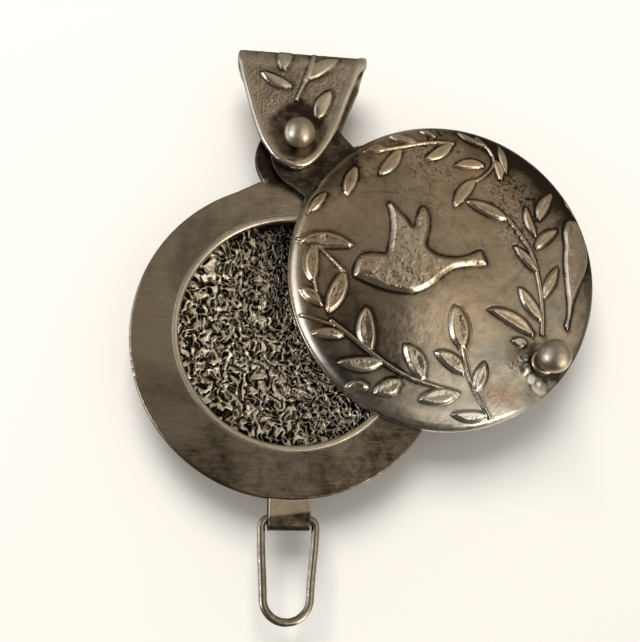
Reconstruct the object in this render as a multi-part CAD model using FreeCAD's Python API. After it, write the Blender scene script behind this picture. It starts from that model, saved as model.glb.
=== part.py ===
import FreeCAD, Part
import math
import os

# Swivel-cover locket pendant, hand-made in oxidised silver.
#
# Final frame: +Z up (the pendant hangs from its bail), the face looks towards
# -Y, +X is to the right seen from the front.  The origin is the centre of the
# bail's eye, on the axis that a chain runs along.
#
# Rest state: case hanging below the bail, cover swung open about the rivet,
# wire latch loop hanging straight down.
#
# The pieces are drawn in a working frame with the rivet axis at x = z = 0 and
# the cover closed, and are swung and moved to the final frame last.

V = FreeCAD.Vector
Y_AXIS = V(0, 1, 0)

# ---------------------------------------------------------------- dimensions
COVER_OPEN_DEG = 48.5      # swing of the cover from the closed position
PIVOT_TO_CENTRE = 20.4     # rivet axis to the centre of case and of cover

CASE_R = 16.0              # flat ring, outer radius
RING_T = 1.10              # flat ring and lug thickness
OPENING_R = 12.0           # hole in the flat ring
OPENING_DX = 0.13          # the hand-cut opening is not quite centred
OPENING_DZ = 0.70

COVER_R = 15.9             # cover, outer radius
PLATE_T = 0.90             # cover's flat back plate
DOME_H = 2.6               # crown of the dome in front of the plate
DOME_POWER = 1.35          # shape of the dome's profile, see cap_profile

SWIVEL_GAP = 0.08          # axial running gap between the stacked tabs
RIVET_R = 0.80             # rivet shank
RIVET_FIT = 0.05           # radial running clearance in both tabs
WASHER_T = 0.40

BAIL_T = 1.00              # bail strap thickness
EYE_R = 1.50               # inside radius of the bail's fold
EYE_X = 0.70               # eye centre beside and above the rivet axis: the
EYE_Z = 7.3                # strap is cut and folded slightly out of square

STUD_POST_R = 0.55
STUD_AT = 13.2             # latch ball axis from the cover's centre

WIRE_R = 0.40              # latch loop wire
HINGE_R = 17.75            # loop hinge from the case's centre
HINGE_Y = 0.40

# The swivel stack, front to back
Y_CASE_FRONT = -0.01
Y_COVER_BACK = Y_CASE_FRONT - SWIVEL_GAP
Y_COVER_FRONT = Y_COVER_BACK - PLATE_T      # front of the plate, foot of the dome
Y_LEG_F = Y_COVER_FRONT - SWIVEL_GAP        # inner face of the bail's front leg
Y_RING_BACK = Y_CASE_FRONT + RING_T
Y_LEG_B = Y_RING_BACK + SWIVEL_GAP          # inner face of the bail's rear leg
Y_BAIL_FRONT = Y_LEG_F - BAIL_T
Y_BAIL_BACK = Y_LEG_B + BAIL_T
EYE_Y = 0.5 * (Y_LEG_F + Y_LEG_B)           # middle of the strap's fold

Z_CASE = -PIVOT_TO_CENTRE                   # centre of case and closed cover
X_OPENING = OPENING_DX                      # centre of the opening and the well
Z_OPENING = Z_CASE + OPENING_DZ
Z_STUD = Z_CASE - STUD_AT
Z_HINGE = Z_CASE - HINGE_R

THROUGH = 9.0              # reach of a through cut, each way from y = 0
TINY = 1e-6                # tolerance of the edge selectors


# ------------------------------------------------------------------- helpers
def disc(x, z, radius, y0, y1):
    return Part.makeCylinder(radius, y1 - y0, V(x, y0, z), Y_AXIS)


def bored(shape, x, z, radius):
    """The shape with a round hole right through it, along Y."""
    return shape.cut(disc(x, z, radius, -THROUGH, THROUGH))


def prism(points, push):
    """A closed straight-sided outline extruded by the vector push."""
    return Part.Face(Part.makePolygon(points + [points[0]])).extrude(push)


def slab(outline, y0, y1):
    """Prism of an outline in (x, z), from y0 to y1."""
    return prism([V(x, y0, z) for x, z in outline], V(0, y1 - y0, 0))


def spline(points, **ends):
    curve = Part.BSplineCurve()
    curve.interpolate(Points=points, **ends)
    return curve.toShape()


# Edges of a turned profile: points are (radius, y)
def profile_line(start, end):
    return Part.makeLine(V(*start, 0), V(*end, 0))


def profile_curve(points):
    return spline([V(radius, y, 0) for radius, y in points])


def turned(edges, x, z):
    """Profile edges revolved about the Y axis through (x, z)."""
    face = Part.Face(Part.Wire(Part.__sortEdges__(edges)))
    solid = face.revolve(V(0, 0, 0), Y_AXIS, 360.0)
    solid.translate(V(x, 0, z))
    return solid


def cap_profile(radius, height, y0, power, steps=14):
    """Dished profile from the rim, at y0, to the axis, at y0 + height.
    A power of 2 is an ellipse, a smaller one makes a flatter rim."""
    points = []
    for k in range(steps + 1):
        r = radius * math.sin(math.pi / 2 * (1 - k / steps))
        points.append((r, y0 + height * (1 - (r / radius) ** 2) ** (1.0 / power)))
    return points


def one(shape):
    """Merge split faces and unwrap a compound that holds a single solid."""
    shape = shape.removeSplitter()
    if len(shape.Solids) == 1:
        return shape.Solids[0]
    return shape


def soft(shape, radius, pick):
    """Round the picked edges."""
    # Guards against a fillet the kernel can't build: smaller radii are tried
    # next, and the edges stay sharp if all of them fail.
    for r in (radius, radius * 0.7, radius * 0.45):
        try:
            rounded = shape.makeFillet(r, [e for e in shape.Edges if pick(e)])
            if rounded.isValid() and rounded.Volume > 0:
                return rounded
        except Exception:
            pass
    return shape


def faces_front(edge):
    """True for an edge that lies in a plane of constant y."""
    return edge.BoundBox.YLength < TINY


# ---------------------------------------------------------------------- case
LUG_R = 4.05               # pivot lug, a round end ...
LUG_DROP = 1.65            # ... centred this far below the rivet
LUG_HALF = 3.55            # half width where the lug meets the ring
LUG_FOOT_RISE = 0.15       # that meeting point above the top of the ring
SHOULDER_X = 9.0           # where the ring's outline leaves the circle
RING_EDGE_R = 0.22


def case_ring():
    """Flat ring with shoulders running up into the pivot lug."""
    y0, y1 = Y_CASE_FRONT, Y_RING_BACK
    z_shoulder = Z_CASE + math.sqrt(CASE_R ** 2 - SHOULDER_X ** 2)
    z_foot = Z_CASE + CASE_R + LUG_FOOT_RISE
    neck_top = LUG_HALF - 0.4
    neck_bottom = LUG_HALF - 0.3
    z_neck = Z_CASE + 14

    ring = disc(0, Z_CASE, CASE_R, y0, y1)
    shoulder = slab([(-SHOULDER_X, z_shoulder), (-LUG_HALF, z_foot),
                     (LUG_HALF, z_foot), (SHOULDER_X, z_shoulder),
                     (0, Z_CASE + 12.5)], y0, y1)
    lug = disc(0, -LUG_DROP, LUG_R, y0, y1)
    neck = slab([(-neck_top, -LUG_DROP), (neck_top, -LUG_DROP),
                 (neck_bottom, z_neck), (-neck_bottom, z_neck)], y0, y1)
    ring = one(ring.fuse([shoulder, lug, neck]))
    ring = soft(ring, RING_EDGE_R, faces_front)
    ring = bored(ring, X_OPENING, Z_OPENING, OPENING_R)
    ring = bored(ring, 0, 0, RIVET_R + RIVET_FIT)
    return one(ring)


BEZEL_R = 11.38            # clear radius inside the lip
BEZEL_RECESS = 0.02        # lip's front behind the ring's front
BEZEL_FLAT = 0.18          # width of the lip's flat front
BEZEL_ROUND = 0.45         # depth of its rounded inner corner


def opening_bezel():
    """Lip inside the opening of the ring."""
    front = Y_CASE_FRONT + BEZEL_RECESS
    flat_end = (OPENING_R - BEZEL_FLAT, front)
    round_end = (BEZEL_R, front + BEZEL_ROUND)
    return turned([
        profile_line((OPENING_R, front), flat_end),
        profile_curve([flat_end, (BEZEL_R + 0.14, front + 0.13), round_end]),
        profile_line(round_end, (BEZEL_R, Y_RING_BACK)),
        profile_line((BEZEL_R, Y_RING_BACK), (OPENING_R, Y_RING_BACK)),
        profile_line((OPENING_R, Y_RING_BACK), (OPENING_R, front)),
    ], X_OPENING, Z_OPENING)


LINER_T = 0.5
LINER_FLANGE_R = 13.8
LINER_BACK_R = 12.35       # rim of the dish on its back face
WELL_DIP = 1.42
WELL_POWER = 1.5


def well_liner():
    """Dished floor of the well, with a flat flange behind the ring."""
    front = Y_RING_BACK
    back = front + LINER_T
    return turned([
        profile_line((LINER_FLANGE_R, front), (OPENING_R, front)),
        profile_curve(cap_profile(OPENING_R, WELL_DIP, front, WELL_POWER)),
        profile_line((0, front + WELL_DIP), (0, front + WELL_DIP + LINER_T)),
        profile_curve(cap_profile(LINER_BACK_R, WELL_DIP, back, WELL_POWER)[::-1]),
        profile_line((LINER_BACK_R, back), (LINER_FLANGE_R, back)),
        profile_line((LINER_FLANGE_R, back), (LINER_FLANGE_R, front)),
    ], X_OPENING, Z_OPENING)


SHELL_R = 15.7
SHELL_H = 3.75
SHELL_T = 0.7
SHELL_POWER = 2.1


def back_shell():
    """Hollow domed back of the case."""
    rim = Y_RING_BACK
    inner_r = SHELL_R - SHELL_T
    inner_h = SHELL_H - SHELL_T
    return turned([
        profile_line((inner_r, rim), (SHELL_R, rim)),
        profile_curve(cap_profile(SHELL_R, SHELL_H, rim, SHELL_POWER)),
        profile_line((0, rim + SHELL_H), (0, rim + SHELL_H - SHELL_T)),
        profile_curve(cap_profile(inner_r, inner_h, rim, SHELL_POWER)[::-1]),
    ], 0, Z_CASE)


# --------------------------------------------------------------------- latch
HINGE_FIT = 0.05
KNUCKLE_T = 0.60           # folded strap around the loop
KNUCKLE_W = 4.05
KNUCKLE_END_R = 18.9       # outermost point of the fold, from the case's centre
KNUCKLE_FOLD = 0.72        # fold's corner radius over the half depth
KNUCKLE_EDGE_R = 0.16


def latch_knuckle():
    """Strap folded around the hinge bar, below the case."""
    bore_r = WIRE_R + HINGE_FIT
    half_depth = bore_r + KNUCKLE_T
    z_end = Z_CASE - KNUCKLE_END_R
    half_w = KNUCKLE_W / 2.0
    y_front, y_back = HINGE_Y - half_depth, HINGE_Y + half_depth
    # The block and the slot run up into the ring's circle, trimmed below
    z_block, z_slot = Z_CASE - 15.0, Z_CASE - 14.5

    block = Part.makeBox(KNUCKLE_W, 2 * half_depth, z_block - z_end,
                         V(-half_w, y_front, z_end))
    block = block.makeFillet(half_depth * KNUCKLE_FOLD,
                             [e for e in block.Edges
                              if abs(e.BoundBox.XLength - KNUCKLE_W) < TINY
                              and e.BoundBox.ZMax < z_end + 1e-3])
    x0 = -half_w - 1
    width = KNUCKLE_W + 2
    slot = prism([V(x0, HINGE_Y - bore_r, Z_HINGE), V(x0, HINGE_Y + bore_r, Z_HINGE),
                  V(x0, HINGE_Y + bore_r, z_slot), V(x0, HINGE_Y - bore_r, z_slot)],
                 V(width, 0, 0))
    bore = Part.makeCylinder(bore_r, width, V(x0, HINGE_Y, Z_HINGE), V(1, 0, 0))
    knuckle = block.cut(slot.fuse(bore))
    knuckle = one(bored(knuckle, 0, Z_CASE, CASE_R))

    def outer_side_edge(edge):
        box = edge.BoundBox
        return (abs(box.XLength) < TINY and box.ZMax < Z_CASE - 16.3
                and box.YLength + box.ZLength > 0.5
                and (box.YMin < y_front + 0.02 or box.YMax > y_back - 0.02))

    return one(soft(knuckle, KNUCKLE_EDGE_R, outer_side_edge))


# Loop sizes are to the wire's centre line
LOOP_LEN = 9.80            # hinge to the end bow
LOOP_TOP_HALF = 2.65       # half width at the hinge
LOOP_END_HALF = 2.27       # half width where the end bow starts
LOOP_BEND_R = 0.8          # bends at the ends of the hinge bar
BOW_RISE = 0.97            # height of the bow over its half width


def latch_loop():
    """Closed loop of bent wire: hinge bar on top, sides leaning in to a bow."""
    def at(x, z):
        return V(x, HINGE_Y, z)

    def mirrored(point):
        return V(-point.x, point.y, point.z)

    def segment(start, end):
        return Part.LineSegment(start, end).toShape()

    def arc(start, middle, end):
        return Part.Arc(start, middle, end).toShape()

    bend_x = LOOP_TOP_HALF - LOOP_BEND_R
    bend_z = Z_HINGE - LOOP_BEND_R
    bow_z = Z_HINGE - LOOP_LEN + LOOP_END_HALF * BOW_RISE
    lean = math.atan2(LOOP_TOP_HALF - LOOP_END_HALF, bend_z - bow_z)

    def on_bend(angle):
        return at(bend_x + LOOP_BEND_R * math.cos(angle),
                  bend_z + LOOP_BEND_R * math.sin(angle))

    bow_r = LOOP_END_HALF / math.cos(lean)
    bar_middle = at(0, Z_HINGE)
    bar_end = at(bend_x, Z_HINGE)
    bend_middle = on_bend((math.pi / 2 - lean) / 2)
    side_top = on_bend(-lean)
    side_end = at(LOOP_END_HALF, bow_z)
    bow_bottom = at(0, bow_z + bow_r * math.sin(lean) - bow_r)

    # The path starts and ends mid-bar, where the section circle stands
    path = Part.Wire([
        segment(bar_middle, bar_end),
        arc(bar_end, bend_middle, side_top),
        segment(side_top, side_end),
        arc(side_end, bow_bottom, mirrored(side_end)),
        segment(mirrored(side_end), mirrored(side_top)),
        arc(mirrored(side_top), mirrored(bend_middle), mirrored(bar_end)),
        segment(mirrored(bar_end), bar_middle),
    ])
    section = Part.Wire(Part.makeCircle(WIRE_R, bar_middle, V(1, 0, 0)))
    loop = path.makePipeShell([section], True, True)
    # The sweep may come out with its faces turned inwards
    if loop.Volume < 0:
        loop.reverse()
    return loop


# --------------------------------------------------------------------- cover
TAB_R = 4.05               # pivot tab, a round end ...
TAB_DROP = 1.90            # ... centred this far below the rivet
TAB_HALF = 3.75            # half width where the tab meets the cover
PLATE_EDGE_R = 0.18


def cover_plate():
    """Flat back plate of the cover with its pivot tab."""
    y0, y1 = Y_COVER_FRONT, Y_COVER_BACK
    top_half = TAB_HALF + 0.1
    z_top = -TAB_DROP - 1.4
    z_meet = Z_CASE + 15.75
    flare_half = TAB_HALF + 1.2
    z_flare = Z_CASE + 15.0

    plate = disc(0, Z_CASE, COVER_R, y0, y1)
    tab = disc(0, -TAB_DROP, TAB_R, y0, y1)
    neck = slab([(-top_half, z_top), (top_half, z_top),
                 (TAB_HALF, z_meet), (flare_half, z_flare), (0, Z_CASE + 10),
                 (-flare_half, z_flare), (-TAB_HALF, z_meet)], y0, y1)
    plate = one(plate.fuse([tab, neck]))
    plate = bored(plate, 0, 0, RIVET_R + RIVET_FIT)
    # Back outline only; the length test leaves out the rivet hole
    plate = soft(plate, PLATE_EDGE_R,
                 lambda e: faces_front(e) and e.BoundBox.YMax > Y_COVER_BACK - TINY
                 and e.BoundBox.XLength > 3)
    return one(plate)


DOME_T = 0.7               # wall at the crown
DOME_RIM_W = 1.3           # wall at the rim


def dome_outside():
    """Outer profile of the dome, bulging towards -Y."""
    return profile_curve(cap_profile(COVER_R, -DOME_H, Y_COVER_FRONT, DOME_POWER))


def cover_dome():
    """Hollow dome on the plate, with a hole for the latch ball's post."""
    rim = Y_COVER_FRONT
    inner_r = COVER_R - DOME_RIM_W
    inside = cap_profile(inner_r, DOME_T - DOME_H, rim, DOME_POWER)[::-1]
    dome = turned([
        dome_outside(),
        profile_line((0, rim - DOME_H), (0, rim - DOME_H + DOME_T)),
        profile_curve(inside),
        profile_line((inner_r, rim), (COVER_R, rim)),
    ], 0, Z_CASE)
    return bored(dome, 0, Z_STUD, STUD_POST_R)


STUD_R = 1.68              # latch ball
STUD_Y = -5.60             # ball centre


def latch_stud():
    """Latch ball on its post."""
    post = disc(0, Z_STUD, STUD_POST_R, STUD_Y, Y_COVER_FRONT)
    ball = Part.makeSphere(STUD_R, V(0, STUD_Y, Z_STUD))
    return one(post.fuse(ball))


COLLAR_R = 1.35
COLLAR_H = 0.42 * DOME_H + 0.62    # collar's front above the plate
COLLAR_EDGE_R = 0.3


def stud_collar():
    """Collar around the post, its foot cut to the dome's surface."""
    foot = Y_COVER_FRONT
    collar = disc(0, Z_STUD, COLLAR_R, foot - COLLAR_H, foot)
    collar = soft(collar, COLLAR_EDGE_R,
                  lambda e: faces_front(e) and e.BoundBox.YMax < foot - 0.5)
    solid_dome = turned([
        dome_outside(),
        profile_line((0, foot - DOME_H), (0, foot)),
        profile_line((0, foot), (COVER_R, foot)),
    ], 0, Z_CASE)
    collar = collar.cut(solid_dome)
    return one(bored(collar, 0, Z_STUD, STUD_POST_R))


# ---------------------------------------------------------------------- bail
# Hand-cut outline of the front leg, top to tip: (x, z above the rivet axis)
LEG_TOP = 9.9
LEG_RIGHT = [(7.50, LEG_TOP), (6.68, 8.3), (5.90, 6.3), (5.15, 4.3), (4.38, 2.1),
             (3.70, 0.4), (3.04, -0.8), (2.12, -2.1), (1.12, -2.93), (0.05, -3.22)]
LEG_LEFT = [(-6.10, LEG_TOP), (-6.17, 8.3), (-5.83, 6.3), (-5.25, 4.3), (-4.58, 2.1),
            (-3.97, 0.4), (-3.37, -0.8), (-2.40, -2.1), (-1.18, -2.95)]
BACK_LEG_SHIFT = 0.80      # so the rear leg lands beside the front one ...
SHIFT_DROP = 2.9           # ... reached this far below the outline's top
LEG_REACH = 6.0            # leg prisms span y = -LEG_REACH to LEG_REACH

RIBBON_HALF = 9.0          # half width of the folded strip before trimming
Z_LEG_STRAIGHT = 1.5       # legs are flat below this height
Z_LEG_MIDDLE = 4.4         # midpoint of the curve up to the eye
Z_RIBBON_END = -5.0


def leg_prism(shift, y0, y1):
    """Leg outline as a prism, slid sideways by shift below the fold."""
    def shifted(x, z):
        return V(x + shift * min(1.0, (LEG_TOP - z) / SHIFT_DROP), y0, z)

    points = [shifted(x, z) for x, z in LEG_RIGHT + LEG_LEFT[::-1]]
    top = Part.makeLine(points[-1], points[0])
    return Part.Face(Part.Wire([spline(points), top])).extrude(V(0, y1 - y0, 0))


def ribbon(radius, y_front, y_back):
    """Filled inverted U, extruded along X: an arc about the eye over two legs."""
    def at(y, z):
        return V(-RIBBON_HALF, y, z)

    arc_front = at(EYE_Y - radius, EYE_Z)
    arc_back = at(EYE_Y + radius, EYE_Z)
    front_top, back_top = at(y_front, Z_LEG_STRAIGHT), at(y_back, Z_LEG_STRAIGHT)
    front_end, back_end = at(y_front, Z_RIBBON_END), at(y_back, Z_RIBBON_END)
    up, down = V(0, 0, 1), V(0, 0, -1)
    outline = [
        Part.makeLine(front_end, front_top),
        spline([front_top, at((y_front + arc_front.y) / 2, Z_LEG_MIDDLE), arc_front],
               InitialTangent=up, FinalTangent=up),
        Part.Arc(arc_front, at(EYE_Y, EYE_Z + radius), arc_back).toShape(),
        spline([arc_back, at((y_back + arc_back.y) / 2, Z_LEG_MIDDLE), back_top],
               InitialTangent=down, FinalTangent=down),
        Part.makeLine(back_top, back_end),
        Part.makeLine(back_end, front_end),
    ]
    return Part.Face(Part.Wire(outline)).extrude(V(2 * RIBBON_HALF, 0, 0))


def bail_strap():
    """Strap folded over the eye, each half trimmed to its leg's outline."""
    folded = ribbon(EYE_R + BAIL_T, Y_BAIL_FRONT, Y_BAIL_BACK).cut(
        ribbon(EYE_R, Y_LEG_F, Y_LEG_B))
    front_half = folded.common(leg_prism(0.0, -LEG_REACH, EYE_Y))
    rear_half = folded.common(leg_prism(BACK_LEG_SHIFT, EYE_Y, LEG_REACH))
    strap = one(front_half.fuse(rear_half))
    return one(bored(strap, 0, 0, RIVET_R))


RIVET_BALL_R = 1.56
RIVET_BALL_SINK = 0.28     # depth of ball cut off at the front leg
SHANK_OVERLAP = 0.4        # shank's reach into the ball
TAIL_R = 1.6               # sphere of the low rear head ...
TAIL_SINK = 1.0            # ... centred this far in front of the washer's back
TRIM = 6.0                 # cube that trims the heads flat


def pivot_rivet():
    """Rivet with a ball head in front and a low domed head behind."""
    def trim_box(y0):
        return Part.makeBox(TRIM, TRIM, TRIM, V(-TRIM / 2, y0, -TRIM / 2))

    y_seat = Y_BAIL_BACK + WASHER_T
    head = Part.makeSphere(RIVET_BALL_R,
                           V(0, Y_BAIL_FRONT - RIVET_BALL_R + RIVET_BALL_SINK, 0))
    head = head.cut(trim_box(Y_BAIL_FRONT))
    shank = disc(0, 0, RIVET_R, Y_BAIL_FRONT - SHANK_OVERLAP, y_seat)
    tail = Part.makeSphere(TAIL_R, V(0, y_seat - TAIL_SINK, 0))
    tail = tail.cut(trim_box(y_seat - TRIM))
    return one(head.fuse([shank, tail]))


WASHER_R = 1.75
WASHER_EDGE_R = 0.2


def rear_washer():
    """Washer between the rear leg and the rivet's rear head."""
    washer = disc(0, 0, WASHER_R, Y_BAIL_BACK, Y_BAIL_BACK + WASHER_T)
    washer = soft(washer, WASHER_EDGE_R,
                  lambda e: faces_front(e) and e.BoundBox.YMin > Y_BAIL_BACK + 0.1)
    return one(bored(washer, 0, 0, RIVET_R))


# ------------------------------------------------------ placing and writing
FIXED_PIECES = (case_ring, opening_bezel, well_liner, back_shell, latch_knuckle,
                latch_loop, bail_strap, pivot_rivet, rear_washer)
COVER_PIECES = (cover_plate, cover_dome, latch_stud, stud_collar)

os.makedirs("parts", exist_ok=True)
# Each file is named after the function that builds the piece
for build in FIXED_PIECES + COVER_PIECES:
    piece = build()
    if build in COVER_PIECES:
        # Seen from the front the cover swings anticlockwise, to +X
        piece.rotate(V(0, 0, 0), Y_AXIS, -COVER_OPEN_DEG)
    piece.translate(V(-EYE_X, -EYE_Y, -EYE_Z))
    piece.exportStep("parts/%s.step" % build.__name__)
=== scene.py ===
import math
from types import SimpleNamespace

import bpy
import numpy as np
from mathutils import Matrix, Vector


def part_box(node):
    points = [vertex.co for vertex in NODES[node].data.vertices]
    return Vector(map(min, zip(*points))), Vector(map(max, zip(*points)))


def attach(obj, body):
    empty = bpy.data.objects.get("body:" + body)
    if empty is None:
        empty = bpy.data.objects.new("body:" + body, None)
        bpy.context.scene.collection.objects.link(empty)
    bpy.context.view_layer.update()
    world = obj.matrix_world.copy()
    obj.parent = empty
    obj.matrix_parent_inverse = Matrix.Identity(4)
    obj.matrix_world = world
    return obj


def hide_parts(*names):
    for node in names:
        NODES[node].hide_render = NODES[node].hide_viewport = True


# Swivel-cover locket pendant, hanging upright.  +X is right, -Y is the front,
# towards the camera, and +Z is up.  A bail and a ball-headed rivet are at the
# top.  The round case has an open well, and a domed cover with leaves and
# birds in relief swivels over it.  A wire loop latches over the cover's stud.
# Lengths are millimetres, scaled by MM when a mesh is made.

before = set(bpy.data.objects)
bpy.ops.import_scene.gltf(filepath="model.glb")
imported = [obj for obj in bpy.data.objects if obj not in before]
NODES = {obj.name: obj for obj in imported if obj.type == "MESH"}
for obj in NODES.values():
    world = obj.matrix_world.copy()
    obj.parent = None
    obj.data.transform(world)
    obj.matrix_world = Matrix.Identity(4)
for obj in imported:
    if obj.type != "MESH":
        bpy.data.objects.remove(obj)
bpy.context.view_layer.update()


MM = 0.001
TAU = 2 * math.pi


# ----------------------------------------------------------- places from the CAD
def box_mm(name):
    low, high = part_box(name)
    return np.array(low) * 1000, np.array(high) * 1000


def centre_xz(low, high):
    return (low[[0, 2]] + high[[0, 2]]) / 2


def radius_of(low, high):
    return (high[0] - low[0]) / 2


rivet_lo, rivet_hi = box_mm("pivot_rivet")
ring_lo, ring_hi = box_mm("case_ring")
dome_lo, dome_hi = box_mm("cover_dome")
stud_lo, stud_hi = box_mm("latch_stud")
liner_lo, liner_hi = box_mm("well_liner")
shell_lo, shell_hi = box_mm("back_shell")

# centres are (x, z)
PIVOT = centre_xz(rivet_lo, rivet_hi)
CASE = np.array([PIVOT[0], ring_lo[2] + radius_of(ring_lo, ring_hi)])
COVER = centre_xz(dome_lo, dome_hi)
COVER_R = radius_of(dome_lo, dome_hi)
DOME_BASE_Y = dome_hi[1]
DOME_RISE = dome_hi[1] - dome_lo[1]
STUD = centre_xz(stud_lo, stud_hi)
STUD_R = radius_of(stud_lo, stud_hi)
WELL = centre_xz(liner_lo, liner_hi)
LEG_Y = 2.12            # the bail's legs lie this far in front of and behind y = 0


# --------------------------------------------------------------------- fields
def perlin(x, y, seed):
    """Gradient noise in about -1 to 1 on arrays, one cell per unit."""
    rng = np.random.default_rng(seed)
    order = rng.permutation(512)
    angle = rng.random(512) * TAU
    grad_x, grad_y = np.cos(angle), np.sin(angle)
    cell_x, cell_y = np.floor(x).astype(np.int64), np.floor(y).astype(np.int64)
    in_x, in_y = x - cell_x, y - cell_y
    ease_x = in_x * in_x * in_x * (in_x * (in_x * 6 - 15) + 10)
    ease_y = in_y * in_y * in_y * (in_y * (in_y * 6 - 15) + 10)

    def corner(i, j):
        k = order[(order[(cell_x + i) & 511] + cell_y + j) & 511]
        return grad_x[k] * (in_x - i) + grad_y[k] * (in_y - j)

    low = corner(0, 0) * (1 - ease_x) + corner(1, 0) * ease_x
    high = corner(0, 1) * (1 - ease_x) + corner(1, 1) * ease_x
    return 1.5 * (low * (1 - ease_y) + high * ease_y)


def noise(x, y, frequency, seed, octaves=1):
    """Perlin noise at a frequency in cells per mm, each octave half as strong."""
    x, y = x * frequency, y * frequency
    return sum(0.5 ** k * perlin(x * 2 ** k + 13.1 * k, y * 2 ** k - 7.7 * k, seed + k)
               for k in range(octaves))


def smooth(start, end, value):
    """Smooth step from 0 at start to 1 at end."""
    t = np.clip((value - start) / (end - start), 0, 1)
    return t * t * (3 - 2 * t)


def band(value, centre, width):
    """Soft band, 1 where the value is at the centre."""
    return np.exp(-((value - centre) / width) ** 2)


def spot(x, z, centre, spread):
    """Soft oval spot, 1 at its centre."""
    return np.exp(-(((x - centre[0]) / spread[0]) ** 2 + ((z - centre[1]) / spread[1]) ** 2))


def dome_height(radius, full_radius, rise, power):
    return rise * np.clip(1 - (radius / full_radius) ** 2, 0, 1) ** (1 / power)


def edge_drop(distance, edge_radius):
    """How far a rounded edge falls, by the distance from the edge."""
    near = np.clip(1 - distance / edge_radius, 0, 1)
    return edge_radius * (1 - np.sqrt(np.clip(1 - near ** 2, 0, 1)))


# ------------------------------------------------------------- flat outlines
def line_distance(x, z, points):
    """Distance from (x, z) to an open polyline."""
    points = np.array(points, float)
    best = np.full(x.shape, 1e9)
    for (ax, az), (bx, bz) in zip(points[:-1], points[1:]):
        dx, dz = bx - ax, bz - az
        length_sq = dx * dx + dz * dz + 1e-12
        t = np.clip(((x - ax) * dx + (z - az) * dz) / length_sq, 0, 1)
        best = np.minimum(best, (x - ax - t * dx) ** 2 + (z - az - t * dz) ** 2)
    return np.sqrt(best)


def is_inside(x, z, outline):
    result = np.zeros(x.shape, bool)
    for (ax, az), (bx, bz) in zip(outline, np.roll(outline, -1, 0)):
        spans = (az > z) != (bz > z)
        crossing = (bx - ax) * (z - az) / (bz - az + 1e-15) + ax
        result ^= spans & (x < crossing)
    return result


def signed_distance(x, z, outline):
    """Distance to a closed outline, positive inside."""
    distance = line_distance(x, z, np.vstack([outline, outline[:1]]))
    return np.where(is_inside(x, z, outline), distance, -distance)


def spline(padded, per_span):
    """Catmull-Rom points; the first and last two controls only guide the curve."""
    out = []
    for i in range(len(padded) - 3):
        before, start, end, after = padded[i:i + 4]
        for t in np.arange(per_span) / per_span:
            out.append(0.5 * (2 * start + (end - before) * t
                              + (2 * before - 5 * start + 4 * end - after) * t * t
                              + (3 * start - before - 3 * end + after) * t ** 3))
    return np.array(out)


def closed_curve(points):
    points = np.array(points, float)
    return spline(np.vstack([points[-1:], points, points[:2]]), per_span=6)


def open_curve(points, per_span):
    points = np.array(points, float)
    padded = np.vstack([2 * points[0] - points[1], points, 2 * points[-1] - points[-2]])
    return np.vstack([spline(padded, per_span), points[-1:]])


def arc_points(centre, radius, start, end, count):
    angle = np.linspace(start, end, count)
    return np.stack([centre[0] + radius * np.cos(angle), centre[1] + radius * np.sin(angle)], -1)


def leaf_outline(base_x, base_z, tip_x, tip_z, width, bend):
    """A plain lanceolate leaf from its base to its tip."""
    t = np.linspace(0, 1, 15)
    base = np.array([base_x, base_z])
    along = np.array([tip_x, tip_z]) - base
    length = np.hypot(*along)
    along = along / length
    across = np.array([-along[1], along[0]])
    spine = (base + np.outer(t * length, along)
             + np.outer(bend * length * np.sin(math.pi * t), across))
    half = 0.5 * width * np.sin(math.pi * t ** 0.92) ** 0.56 * (1 - 0.08 * t)
    half[0], half[-1] = 0.18 * width, 0.06 * width
    side = across * half[:, None]
    return np.vstack([spine + side, (spine - side)[::-1][1:]])


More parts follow.
